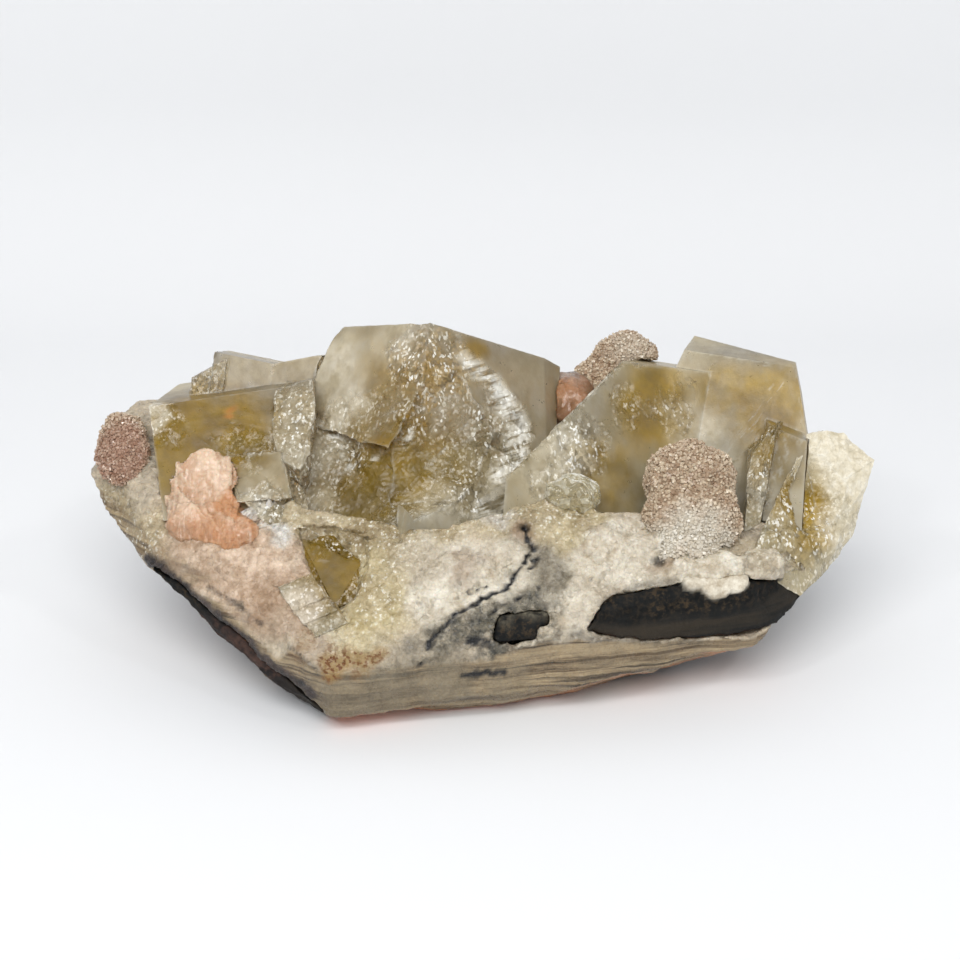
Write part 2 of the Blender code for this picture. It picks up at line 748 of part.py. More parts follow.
def build():
    centre = calcite_centre()
    right = calcite_right_cluster()
    left = calcite_left_cluster()
    make_room(right, centre)
    make_room(left, centre)
    calcites = [centre, right, left]

    druses = druse_patches()
    left_druse, front_druse, back_druse = druses
    for patch in druses:
        make_room(patch, *calcites)
    salmon = stilbite_back()
    make_room(salmon, *calcites, back_druse)
    sheaf = stilbite_sheaf()
    make_room(sheaf, *calcites, left_druse)
    chip = calcite_chip()
    make_room(chip, *calcites, front_druse)
    front_left = calcite_front_left()
    make_room(front_left, *calcites, sheaf)
    far_right = calcite_far_right()
    make_room(far_right, *calcites, front_druse)

    crystals = calcites + druses + [salmon, sheaf, chip, front_left, far_right]
    specimen = crystals + list(rocks(crystals))
    for patch in druses:
        raise_druse(patch, [piece for piece in specimen if piece != patch])
    stand_on_origin(specimen)
    for piece in specimen:
        give_material(piece, *MATERIALS[piece.name])


clear_scene()
PARTS = new_collection("Calcite specimen")
CUTTERS = new_collection("Cutters", hidden=True)
build()
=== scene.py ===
"""Calcite specimen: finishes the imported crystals, crust and basalt, and sets them on a pale floor.

Spots and paths are written in millimetres in the design frame of the part's source, and
spot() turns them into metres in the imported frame.
"""

import functools
import math
import random

import bmesh
import bpy
import numpy as np
from mathutils import Euler, Matrix, Vector, noise
from mathutils.bvhtree import BVHTree


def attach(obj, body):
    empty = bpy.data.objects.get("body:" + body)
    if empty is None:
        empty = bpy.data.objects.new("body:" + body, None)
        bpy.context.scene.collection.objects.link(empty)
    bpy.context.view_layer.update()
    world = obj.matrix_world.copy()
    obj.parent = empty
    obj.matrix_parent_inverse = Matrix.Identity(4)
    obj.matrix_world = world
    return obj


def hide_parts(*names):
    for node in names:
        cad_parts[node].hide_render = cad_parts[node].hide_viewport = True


bl_info = {
    "name": "Calcite specimen",
    "version": (1, 0, 0),
    "blender": (4, 5, 0),
    "location": "View3D > Sidebar > Specimen",
    "description": "Finishes the calcite specimen and sets it on a pale floor",
    "category": "Object",
}

MM = 0.001
WELD = 0.002 * MM

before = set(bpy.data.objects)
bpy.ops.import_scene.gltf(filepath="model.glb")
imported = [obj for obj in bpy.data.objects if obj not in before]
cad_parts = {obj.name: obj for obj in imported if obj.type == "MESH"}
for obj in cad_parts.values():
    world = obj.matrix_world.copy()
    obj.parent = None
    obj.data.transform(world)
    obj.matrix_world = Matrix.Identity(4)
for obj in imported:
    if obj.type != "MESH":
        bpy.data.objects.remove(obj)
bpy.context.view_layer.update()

# The top corner of the middle crystal, as the part's source has it, places the design frame
DESIGN_TOP = Vector((-11.2, 8, 71.5)) * MM
TOP_CORNER = max((v.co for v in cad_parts["calcite_centre"].data.vertices), key=lambda co: co.z)
SHIFT = TOP_CORNER - DESIGN_TOP

# How finely each finished piece is meshed
CRUST_VOXEL = 0.66 * MM  # a finer one takes the crust past 200,000 triangles
BASALT_VOXEL = 0.8 * MM
CRYSTAL_STEP = 1.1 * MM
SMALL_CRYSTAL_STEP = 0.8 * MM
CHIP_STEP = 0.5 * MM
SHEAF_VOXEL = 0.4 * MM
SALMON_VOXEL = 0.5 * MM
DRUSE_VOXEL = 0.8 * MM

GROWN_FACE = 60 * MM * MM  # a flat face larger than this grew; a smaller one is a break
SHARP = math.radians(24)
REACH = 2.3 * MM  # the crust and the crystals meet where they are closer than this
FULL_REACH = 1.5 * MM
SINK = 0.25 * MM

CAMERA_TARGET = Vector((0, 0, 36)) * MM
CAMERA_DISTANCE = 441.05 * MM
CAMERA_ELEVATION = math.radians(27)
SENSOR = 36.0
VIEW_ANGLE = math.radians(28)
WOBBLE_SEED = 3

# Painted spots: x, y, z, radius and strength. Painted highlight streaks: half their width, and their path.
# Paths: points.
# All lengths are in millimetres of the design frame.
CRUST_SPOTS = {
    "white": (
        (-2, -34, 31, 11, 1), (-9, -38, 26, 8, 1), (7, -31, 32, 8, 0.7), (21, -38, 26, 6, 0.6),
        (26, -31, 32, 9, 1), (28, -27, 36, 8, 1), (35, -26, 35, 9, 0.8), (44, -31, 31, 8, 1),
        (51, -33, 31, 8, 1), (61, -30, 31, 8, 0.4), (17, -40, 22, 9, 0.8), (-75, -3, 47, 9, 0.8),
        (-35, -45, 20, 8, 0.5), (12, -42, 17, 8, 0.6), (-12, -30, 32, 8, 0.5), (66, -28, 31, 7, 0.7),
        (36, -31, 30, 9, 0.8), (17, -41, 21, 7, 0.8),
    ),
    "pink": (
        (-58, -24, 31, 15, 0.9), (-49, -31, 28, 16, 1), (-41, -33, 27, 11, 0.9), (-66, -17, 34, 10, 0.7),
        (-52, -18, 36, 11, 0.9), (-38, -40, 22, 8, 0.7),
    ),
    "yellow": (
        (-22, -38, 25, 11, 0.9), (-27, -44, 20, 8, 0.7), (-20, -30, 31, 8, 0.7), (-30, -22, 33, 9, 0.6),
        (-28, -32, 26, 8, 0.9), (-24, -28, 30, 7, 0.8), (22, -22, 34, 9, 0.7), (14, -20, 35, 7, 0.5),
    ),
    "grey": (
        (4, -39, 25, 10, 1), (14, -33, 29, 9, 1), (17, -29, 31, 9, 1), (10, -24, 35, 7, 0.7),
        (60, -27, 33, 6, 0.5), (-8, -44, 22, 7, 0.8),
    ),
    "glassy": (
        (-82, -8, 33, 9, 0.8), (-74, -17, 30, 9, 0.8), (-28, -22, 36, 10, 1), (-18, -25, 35, 9, 1),
        (-8, -21, 37, 9, 0.9), (3, -20, 38, 8, 0.9), (11, -17, 39, 8, 0.9), (62, -26, 32, 8, 0.7),
        (71, -21, 30, 9, 0.9), (18, -22, 36, 8, 0.7), (-22, -36, 27, 8, 0.6), (-40, -18, 36, 7, 0.8),
    ),
    "silver": (
        (4, -20.5, 38, 4, 0.6), (-48, -17, 38, 4.5, 1), (-45, -19.5, 36, 4, 1), (-44.5, -22, 34, 3, 0.8),
    ),
    "brown": (
        (-46, -38, 23, 6, 0.45), (-36, -46, 19, 5, 0.4), (-56, -30, 27, 6, 0.3), (-45, -32, 27, 4, 0.3),
        (-42, -41, 21, 5, 0.5), (-3, -33, 33, 6, 0.5), (10, -25, 36, 4, 0.6), (8, -42, 20, 4, 0.3),
        (20, -29, 35, 4, 0.5), (-68, -22, 30, 5, 0.4), (40, -30, 31, 3.5, 0.6), (-38, -42, 21, 4, 0.6),
    ),
    "moss": ((-20, -48, 11, 11, 0.9), (-8, -47, 11, 10, 0.9), (-30, -50, 10, 9, 0.8), (6, -45, 9, 8, 0.5)),
    "rust": (
        (-31, -48.4, 17.5, 5, 1), (-28.5, -48.4, 17.8, 4, 1), (-25, -48, 18, 3, 0.9),
        (-22.5, -47.6, 18.6, 2.5, 0.8), (-38, -44, 20, 3, 0.4),
    ),
    "slate": (
        (-8, -44.5, 20, 6, 0.9), (-3, -42.5, 21.5, 6.5, 1), (2, -41, 23, 6.5, 1), (8, -39.5, 24, 6.5, 1),
        (13, -40, 22.5, 6, 1), (4, -44, 18.5, 6, 1), (10, -43, 18.5, 6, 0.9), (-13, -46, 17, 5, 0.7),
    ),
    "dark": (
        (9.8, -23.6, 36.3, 1.6, 1), (-2.1, -35.8, 27.3, 0.6, 1), (-0.6, -35.2, 27.6, 0.6, 1),
        (1.1, -34.8, 28, 0.6, 1), (38.5, -30, 31.5, 1.6, 0.8), (25, -34, 29, 0.7, 1),
        (22, -38, 23, 0.6, 0.9),
    ),
}
CRUST_PATHS = {
    "crack": (
        (
            (-13.1, -47.9, 15.8), (-10.2, -45.3, 21.1), (-5.3, -40.4, 24.3), (0, -37, 26),
            (5.4, -35.4, 27.5), (10.8, -28.8, 32.4),
        ),
        ((1, -40, 23), (4, -39, 25.5), (9, -37.5, 27), (13, -35.5, 28.5)),
        ((9.8, -23.6, 36.3), (12, -29, 32), (11, -33, 30)),
    ),
    "lens": (
        ((-2.7, -46.2, 12.4), (1.5, -45.8, 12.8), (5, -45.3, 12.8)),
        ((-2, -45, 20.5), (3, -43.5, 19.5), (8, -42.5, 19.5)),
    ),
    # Painted shade along the crust's edge over the basalt lens
    "edge": (
        ((26, -38.5, 26), (31, -36.5, 27.8), (36.5, -34.6, 28.8), (42, -34.1, 28.8)),
        ((20, -41.5, 20), (30, -40.1, 17.9), (48, -36.5, 15)),
    ),
    "band": (
        (
            (-73, -21.5, 26), (-68, -25, 23.6), (-61.5, -30, 20.8), (-54, -36, 17.8), (-48, -41, 14.5),
            (-43, -45, 11.8), (-37, -48.5, 8.8),
        ),
    ),
    "seam": (
        (
            (-62, -28.5, 26), (-51.8, -35.5, 23.1), (-46, -40, 21), (-40.3, -45.3, 19.1),
            (-34, -50.5, 16.5), (-27, -51.5, 15.5),
        ),
    ),
}

BASALT_LUMPS = (
    (50.5, -34.3, 29.4, 4.4, 1), (46, -34, 29.8, 3.2, 1), (55, -33.5, 29.4, 3.6, 1), (68, -26.5, 27, 3, 1),
)

# In the crystals' spots below, grey is painted shade that darkens their back and top faces
LEFT_SPOTS = {
    "honey": (
        (-66, -1, 48, 18, 1), (-56, -1, 48, 16, 1), (-50, 2, 50, 10, 0.7), (-66, -8, 42, 12, 1),
        (-48, -11, 42, 9, 0.35), (-42, 0, 50, 9, 0.4),
    ),
    "milk": (
        (-42, 0, 51, 8, 0.45), (-74, 2, 52, 6, 0.9), (-42, -6, 46, 7, 0.5), (-49, -17, 38, 5, 1),
        (-49, -11, 42, 8, 0.3),
    ),
    "grey": (
        (-57, 16, 56, 17, 0.9), (-40, 18, 57, 14, 0.9), (-48, -11, 42, 10, 0.1), (-66, 12, 55, 9, 0.7),
    ),
    "crackle": (
        (-48, -17, 37, 7, 1), (-42, 0, 50, 8, 0.7), (-72, 0, 51, 7, 0.5), (-54, -4, 45, 8, 0.35),
        (-39, -5, 40, 7, 0.8),
    ),
    "red": ((-55.8, 2, 53.4, 2.6, 1), (-54.4, 1.6, 52.4, 2, 0.9), (-56.5, 2.4, 51, 1.6, 0.8)),
}
CENTRE_SPOTS = {
    "honey": (
        (-19, -7, 42, 15, 1), (-25, -10, 36, 13, 0.9), (-10, -8, 44, 13, 0.7), (-12, 1, 63, 8, 0.4),
        (0, -8, 46, 10, 0.35), (0, 10, 65, 5, 0.8), (-20, 3, 58, 12, 0.45), (-25, 2, 50, 8, 0.6),
        (-34, -6, 37, 9, 0.5), (-16, -6, 50, 9, 0.9),
    ),
    "milk": (
        (-35, 12, 60, 11, 0.8), (-34, 5, 52, 8, 0.6), (3, -21, 37, 9, 0.8), (-38, -6, 34, 6, 0.7),
        (-20, 9, 68, 9, 0.4), (6, -8, 40, 7, 0.6), (-9, -14, 37, 8, 0.6), (-31, 6, 53, 9, 0.7),
        (-38, 0, 42, 7, 0.6),
    ),
    "grey": ((9, 13, 57, 15, 0.4), (14, 9, 46, 12, 0.3), (2, 12, 64, 10, 0.5), (-30, 14, 64, 10, 0.1)),
    "crackle": (
        (-12, 3, 64, 12, 1), (-14, -4, 56, 9, 0.7), (6, 1, 50, 10, 0.9), (8, -4, 44, 8, 0.9),
        (-2, -14, 40, 9, 0.8), (-30, 0, 44, 7, 0.8), (-34, 4, 50, 6, 0.6), (-24, 0, 53, 9, 0.5),
    ),
    "calm": ((-19, -7, 43, 10, 0.95), (-26, -10, 36, 8, 0.8), (-12, -8, 44, 7, 0.6), (-27, 8, 56, 7, 0.8)),
}
# Painted highlight streaks, also made glossier, along the middle crystal's bow and its plate's ragged edge
CENTRE_GLOSSY_HIGHLIGHTS = (
    (3.4, (
        (-3.2, 6.9, 62.4), (0.2, 7.4, 59.8), (3.9, 6.9, 55.7), (7.1, 6.3, 51.8), (9.6, 4.9, 47.6),
        (9.3, 0.1, 41.3), (7.5, -8, 38), (4, -10, 35), (0.4, -11.2, 34.4),
    )),
    (3.6, ((4, 6.5, 52), (6, 5.5, 49), (6.4, 3, 45.5), (6, 0, 42), (4, -5, 39))),
    (1.3, ((-37.1, 5.6, 47.5), (-34.4, 4.9, 45.6), (-31.9, 2.2, 44.1), (-30, -2, 40.1))),
    (1.2, ((-24.6, -3.8, 42.3), (-22.5, -3.7, 44), (-17.3, -3.8, 47.5), (-15.3, -2.2, 50.5))),
)
RIGHT_SPOTS = {
    "honey": (
        (41, 9, 50, 15, 0.9), (30, -8, 42, 12, 0.8), (50, 8, 50, 9, 0.5), (36, -14, 36, 9, 0.8),
        (66, 4, 46, 12, 0.7), (66, -4, 42, 8, 0.8), (56, 16, 52, 10, 0.7), (68, 14, 49, 14, 0.9),
    ),
    "milk": (
        (62, -8, 41, 6, 0.35), (20, -4, 45, 9, 0.6), (16, -12, 40, 8, 0.5), (50, 8, 47, 10, 0.6),
        (31, -10, 40, 7, 0.3),
    ),
    "grey": (
        (22, 8, 56, 16, 0.5), (34, 14, 60, 10, 0.2), (62, 22, 55, 14, 1), (50, 26, 59, 10, 0.6),
        (68, 14, 49, 14, 1), (63, -9, 40, 8, 0.5),
    ),
    "crackle": (
        (21, -3, 46, 9, 1), (18, -10, 41, 8, 0.8), (45, 11, 49, 7, 0.6), (66, 3, 49, 5, 0.9),
        (62, -10, 40, 6, 0.7), (34, 6, 52, 6, 0.5), (48, 14, 54, 5, 0.4),
    ),
}
# A painted highlight streak, also made glossier, on the right crystals
RIGHT_GLOSSY_HIGHLIGHTS = ((1.6, ((22.5, 3, 55), (32, 13, 60), (45, 20, 59))),)
FRONT_LEFT_SPOTS = {
    "honey": ((-31, -26, 30, 14, 1), (-29, -32, 25, 10, 1)),
    "milk": ((-39, -38, 25, 7, 1),),
    "crackle": ((-39, -38, 25, 6, 0.3), (-33, -21, 32, 6, 0.6)),
    "red": ((-39, -38, 25, 8, 0.14),),
}
FAR_RIGHT_SPOTS = {
    "honey": ((72, -10, 36, 10, 1), (74, -14, 31, 8, 0.8), (69, -18, 30, 8, 0.4)),
    "milk": ((81, 1, 44, 10, 1), (86, -3, 38, 10, 1), (82, -11, 28, 10, 0.7)),
    "crackle": ((72, -14, 32, 9, 0.6), (66, -20, 31, 8, 0.6)),
    "calm": ((78, 0, 44, 9, 0.7), (84, -3, 38, 9, 0.6)),
}
CHIP_MILK = ((14, -12, 42, 3, 0.5),)


def spot(x, y, z):
    return SHIFT + Vector((x, y, z)) * MM


# Colours and sizes that a user would change


def colour_property(name, description, default):
    return bpy.props.FloatVectorProperty(
        name=name, description=description, default=default, subtype="COLOR", size=3, min=0.0, max=1.0
    )


def length_property(name, description, default, largest):
    return bpy.props.FloatProperty(
        name=name, description=description, default=default, min=0.0, max=largest, unit="LENGTH", precision=5
    )


class SpecimenCalcite(bpy.types.PropertyGroup):
    frosted: colour_property("Frosted", "Colour of the frosted grown faces", (0.80, 0.68, 0.44))
    honey: colour_property("Honey", "Colour of the deep honey zones", (0.58, 0.36, 0.02))
    milk: colour_property("Milk", "Colour of the milky veils", (0.82, 0.75, 0.60))
    # Grey is painted shade for the crystals' back and top faces
    grey: colour_property("Grey", "Colour of the dull grown faces", (0.47, 0.415, 0.31))
    # Glint is the colour of the painted glints and of the painted highlight streaks
    glint: colour_property("Glint", "Colour of the bright flakes and edges", (0.97, 0.96, 0.90))
    clear: bpy.props.FloatProperty(
        name="Clearness", description="How much light passes the clear zones", default=0.62, min=0.0, max=1.0,
        subtype="FACTOR",
    )
    crackle: length_property("Crackle", "Height of the steps on broken faces", 0.32 * MM, 2 * MM)


class SpecimenRock(bpy.types.PropertyGroup):
    cream: colour_property("Cream", "Colour of the rounded white lumps", (0.86, 0.80, 0.67))
    stone: colour_property("Stone", "Colour of the crust between the lumps", (0.64, 0.54, 0.40))
    basalt: colour_property("Basalt", "Colour of the dark host rock", (0.004, 0.0048, 0.005))
    grain: length_property("Grain", "Height of the crust's grain", 0.26 * MM, 2 * MM)
    lumps: length_property("Lumps", "Height of the small rounded lumps", 0.7 * MM, 3 * MM)


class SpecimenDruse(bpy.types.PropertyGroup):
    warm: colour_property("Warm grain", "Colour of the browner crystals", (0.46, 0.31, 0.20))
    pale: colour_property("Pale grain", "Colour of the paler crystals", (0.86, 0.72, 0.53))
    length: length_property("Crystal length", "Side of the largest crystals", 0.78 * MM, 3 * MM)
    spacing: length_property("Crystal spacing", "Distance between neighbouring crystals", 0.56 * MM, 3 * MM)


class SpecimenStilbite(bpy.types.PropertyGroup):
    peach: colour_property("Peach", "Colour of the fan of blades", (0.55, 0.315, 0.18))
    ridge: length_property("Ridge", "Height of the fan's ribs", 0.35 * MM, 2 * MM)


class SpecimenStage(bpy.types.PropertyGroup):
    floor: colour_property("Floor", "Colour of the floor and the wall behind", (0.84, 0.845, 0.855))
    dome: bpy.props.FloatProperty(
        name="Dome", description="Strength of the even light from all sides", default=0.46, min=0.0, max=5.0,
    )
    softbox: bpy.props.FloatProperty(
        name="Softbox", description="Power of the large light in front", default=4.9, min=0.0, max=100.0,
        unit="POWER",
    )


# Meshes


def solid(node):
    """A bmesh of a CAD node, its loose triangles joined."""
    bm = bmesh.new()
    bm.from_mesh(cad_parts[node].data)
    bmesh.ops.remove_doubles(bm, verts=bm.verts, dist=WELD)
    return bm


def add_piece(name, bm):
    """Turns a bmesh into a piece with a clean mesh of its own."""
    mesh = bpy.data.meshes.new(name)
    bm.to_mesh(mesh)
    bm.free()
    for attribute in ("custom_normal", "UVMap"):
        if attribute in mesh.attributes:
            mesh.attributes.remove(mesh.attributes[attribute])
    piece = bpy.data.objects.new(name, mesh)
    bpy.context.scene.collection.objects.link(piece)
    return piece


def remesh(piece, voxel):
    modifier = piece.modifiers.new("Remesh", "REMESH")
    modifier.mode = "VOXEL"
    modifier.voxel_size = voxel
    graph = bpy.context.evaluated_depsgraph_get()
    old = piece.data
    fine = bpy.data.meshes.new_from_object(piece.evaluated_get(graph))
    piece.modifiers.clear()
    piece.data = fine
    bpy.data.meshes.remove(old)
    fine.name = piece.name


def points_of(mesh):
    flat = np.empty(len(mesh.vertices) * 3)
    mesh.vertices.foreach_get("co", flat)
    return flat.reshape(-1, 3)


def normals_of(mesh):
    flat = np.empty(len(mesh.vertices) * 3)
    mesh.vertex_normals.foreach_get("vector", flat)
    return flat.reshape(-1, 3)


def move_points(mesh, points):
    mesh.vertices.foreach_set("co", points.ravel())
    mesh.update()


def break_up(bm, longest):
    """Halves the edges that are longer than longest, in as many rounds as the longest one needs."""
    bmesh.ops.triangulate(bm, faces=bm.faces)
    first = max(edge.calc_length() for edge in bm.edges)
    for _ in range(math.ceil(math.log2(first / longest))):
        long_edges = [edge for edge in bm.edges if edge.calc_length() > longest]
        bmesh.ops.subdivide_edges(bm, edges=long_edges, cuts=1, use_grid_fill=True)
        bmesh.ops.triangulate(bm, faces=[face for face in bm.faces if len(face.verts) > 3])


def fractal(points, length, octaves=4):
    scaled = (points / length).tolist()
    return np.array([noise.fractal(p, 0.8, 2.1, octaves) for p in scaled])


def cells(points, length):
    """Distance to the nearest cell middle, and to the border between the two nearest cells."""
    near = np.array([noise.voronoi(p)[0][:2] for p in (points / length).tolist()])
    return near[:, 0], near[:, 1] - near[:, 0]


def design(points):
    """The points in millimetres of the design frame."""
    return (points - np.array(SHIFT)) / MM


noise.seed_set(WOBBLE_SEED)  # without a seed the wobble would be another one in each run


def wobbled(points, amount, length):
    """The points in design millimetres, pushed about so that painted edges are uneven."""
    push = np.array([noise.noise_vector(p) for p in (points / length).tolist()])
    return design(points) + push * amount


def near_spots(points, spots):
    value = np.zeros(len(points))
    for *centre, radius, strength in spots:
        share = 1 - np.linalg.norm(points - centre, axis=1) / radius
        value = np.maximum(value, strength * np.clip(share * 2, 0, 1))
    return value


def near_paths(points, paths, radius):
    value = np.zeros(len(points))
    for path in paths:
        for start, end in zip(path[:-1], path[1:]):
            start, along = np.array(start), np.array(end) - np.array(start)
            share = np.clip((points - start) @ along / (along @ along), 0, 1)
            distance = np.linalg.norm(points - start - share[:, None] * along, axis=1)
            value = np.maximum(value, np.clip(1 - distance / radius, 0, 1))
    return value


def store(mesh, name, values):
    layer = mesh.attributes.new(name, "FLOAT", "POINT")
    layer.data.foreach_set("value", np.asarray(values, np.float32))


def paint(mesh, layers, amount=3.0, length=5 * MM):
    """Stores each layer of spots as an attribute, and returns the layers' values by name."""
    points = wobbled(points_of(mesh), amount, length)
    values = {name: near_spots(points, spots) for name, spots in layers.items()}
    for name, value in values.items():
        store(mesh, name, value)
    return values


def tree_of(*nodes):
    """A search tree over the given CAD nodes."""
    points, faces = [], []
    for node in nodes:
        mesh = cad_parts[node].data
        faces += [[i + len(points) for i in polygon.vertices] for polygon in mesh.polygons]
        points += [v.co.copy() for v in mesh.vertices]
    return BVHTree.FromPolygons(points, faces)


CRYSTAL_NODES = [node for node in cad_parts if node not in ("basalt_matrix", "chalcedony_crust")]


def reach_crystals(points):
    """Pulls the points that line a crystal's socket onto the crystal."""
    tree = tree_of(*CRYSTAL_NODES)
    for i, point in enumerate(points):
        place, normal, _, distance = tree.find_nearest(Vector(point), REACH)
        if place is None:
            continue
        share = min(1.0, (REACH - distance) / (REACH - FULL_REACH))
        points[i] += share * (np.array(place - normal * SINK) - point)
    return points


# Materials


def scaled(colour, share):
    return tuple(c * share for c in colour)


class Finish:
    """A material's nodes, with short calls for the ones that the pieces use."""

    def __init__(self, name):
        self.material = bpy.data.materials.new(name)
        self.material.use_nodes = True
        self.tree = self.material.node_tree
        self.shader = self.tree.nodes["Principled BSDF"]
        self.output = self.tree.nodes["Material Output"]
        self.place = self.tree.nodes.new("ShaderNodeTexCoord").outputs["Object"]

    def node(self, kind, inputs=(), **settings):
        node = self.tree.nodes.new(kind)
        for key, value in settings.items():
            setattr(node, key, value)
        for key, value in dict(inputs).items():
            self.put(node.inputs[key], value)
        return node

    def put(self, socket, value):
        if isinstance(value, bpy.types.NodeSocket):
            self.tree.links.new(value, socket)
        else:
            socket.default_value = value

    def set(self, **values):
        """Puts values on the shader, with _ for the spaces of the socket's name."""
        for key, value in values.items():
            self.put(self.shader.inputs[key.replace("_", " ")], value)

    def attribute(self, name):
        return self.node("ShaderNodeAttribute", attribute_name=name).outputs["Fac"]

    def stretched(self, scale, turn=(0, 0, 0)):
        mapping = self.node("ShaderNodeMapping", {"Vector": self.place, "Scale": scale, "Rotation": turn})
        return mapping.outputs["Vector"]

    def noise(self, scale, detail=4.0, roughness=0.6, vector=None, distortion=0.0):
        inputs = {
            "Vector": vector or self.place, "Scale": scale, "Detail": detail, "Roughness": roughness,
            "Distortion": distortion,
        }
        return self.node("ShaderNodeTexNoise", inputs).outputs["Fac"]

    def voronoi(self, scale, output="Distance", vector=None):
        inputs = {"Vector": vector or self.place, "Scale": scale}
        return self.node("ShaderNodeTexVoronoi", inputs).outputs[output]

    def math(self, operation, a, b=0.0, clamp=False):
        return self.node("ShaderNodeMath", {0: a, 1: b}, operation=operation, use_clamp=clamp).outputs[0]

    def spread(self, value, low, high, to_low=0.0, to_high=1.0):
        """The value, stretched so that low to high becomes to_low to to_high."""
        inputs = {"Value": value, "From Min": low, "From Max": high, "To Min": to_low, "To Max": to_high}
        return self.node("ShaderNodeMapRange", inputs).outputs["Result"]

    def mix(self, share, a, b):
        node = self.node("ShaderNodeMix", {"Factor": share}, data_type="RGBA")
        for socket, value in ((node.inputs[6], a), (node.inputs[7], b)):
            self.put(socket, value if isinstance(value, bpy.types.NodeSocket) else (*value, 1.0))
        return node.outputs[2]

    def facets(self, scale, slope, vector=None):
        """Height of a surface of small flat facets, each tilted its own way, in metres."""
        place = vector or self.place
        cell = self.node("ShaderNodeTexVoronoi", {"Vector": place, "Scale": scale}).outputs
        offset, tilt = (
            self.node("ShaderNodeVectorMath", {0: a, 1: b}, operation="SUBTRACT").outputs[0]
            for a, b in ((place, cell["Position"]), (cell["Color"], (0.5, 0.5, 0.5)))
        )
        rise = self.node("ShaderNodeVectorMath", {0: offset, 1: tilt}, operation="DOT_PRODUCT")
        return self.math("MULTIPLY", rise.outputs["Value"], slope)

    def times(self, *values):
        return functools.reduce(lambda a, b: self.math("MULTIPLY", a, b), values)

    def over(self, colour, other, *shares):
        """The colour, with another one over it where all the shares are high."""
        return self.mix(self.times(*shares), colour, other)

    def zone(self, name, colour, other, *shares):
        """The colour, with another one where the zone of that name is painted."""
        return self.over(colour, other, self.attribute(name), *shares)

    def mottling(self, cloud_share):
        """Coarse clouds, fine grain and the blend of the two, which has the given share of clouds."""
        cloud = self.spread(self.noise(120, 6, 0.68), 0.36, 0.64)
        grain = self.spread(self.noise(560, 4, 0.7), 0.34, 0.66)
        blend = self.math("ADD", self.times(cloud, cloud_share), self.times(grain, 1 - cloud_share))
        return cloud, grain, self.spread(blend, 0.15, 0.85)

    def bump(self, height, distance, strength=1.0, normal=None):
        inputs = {"Height": height, "Distance": distance, "Strength": strength}
        if normal:
            inputs["Normal"] = normal
        return self.node("ShaderNodeBump", inputs).outputs["Normal"]

    def absorb(self, colour, density):
        volume = self.node("ShaderNodeVolumeAbsorption", {"Color": (*colour, 1.0), "Density": density})
        self.tree.links.new(volume.outputs["Volume"], self.output.inputs["Volume"])


def wear(piece, finish, node):
    """Gives a finished piece its material and its place in the frame."""
    piece.data.materials.clear()
    piece.data.materials.append(finish)
    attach(piece, "root")
    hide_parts(node)


# The darkest and the lightest colour of the crust's painted zones
CRUST_TONES = (
    ("grey", (0.15, 0.125, 0.085), (0.42, 0.37, 0.28)),
    ("pink", (0.46, 0.31, 0.20), (0.84, 0.66, 0.50)),
    ("yellow", (0.42, 0.32, 0.13), (0.70, 0.60, 0.36)),
    ("glassy", (0.28, 0.205, 0.10), (0.58, 0.48, 0.30)),
)
SLATE = (0.035, 0.035, 0.03), (0.24, 0.21, 0.15)


def rim_colour(f, cloud):
    """Wood-like bands with thin dark lines."""
    bands = f.spread(f.noise(60, 6, 0.7, f.stretched((0.35, 0.5, 8.0)), 0.8), 0.4, 0.58)
    lines = f.spread(f.noise(150, 4, 0.6, f.stretched((0.16, 0.3, 7.0)), 0.5), 0.56, 0.63)
    rim = f.mix(bands, (0.105, 0.062, 0.028), (0.44, 0.335, 0.20))
    rim = f.over(rim, (0.15, 0.13, 0.09), cloud, 0.35)
    return f.over(rim, (0.035, 0.026, 0.018), lines, 0.8)


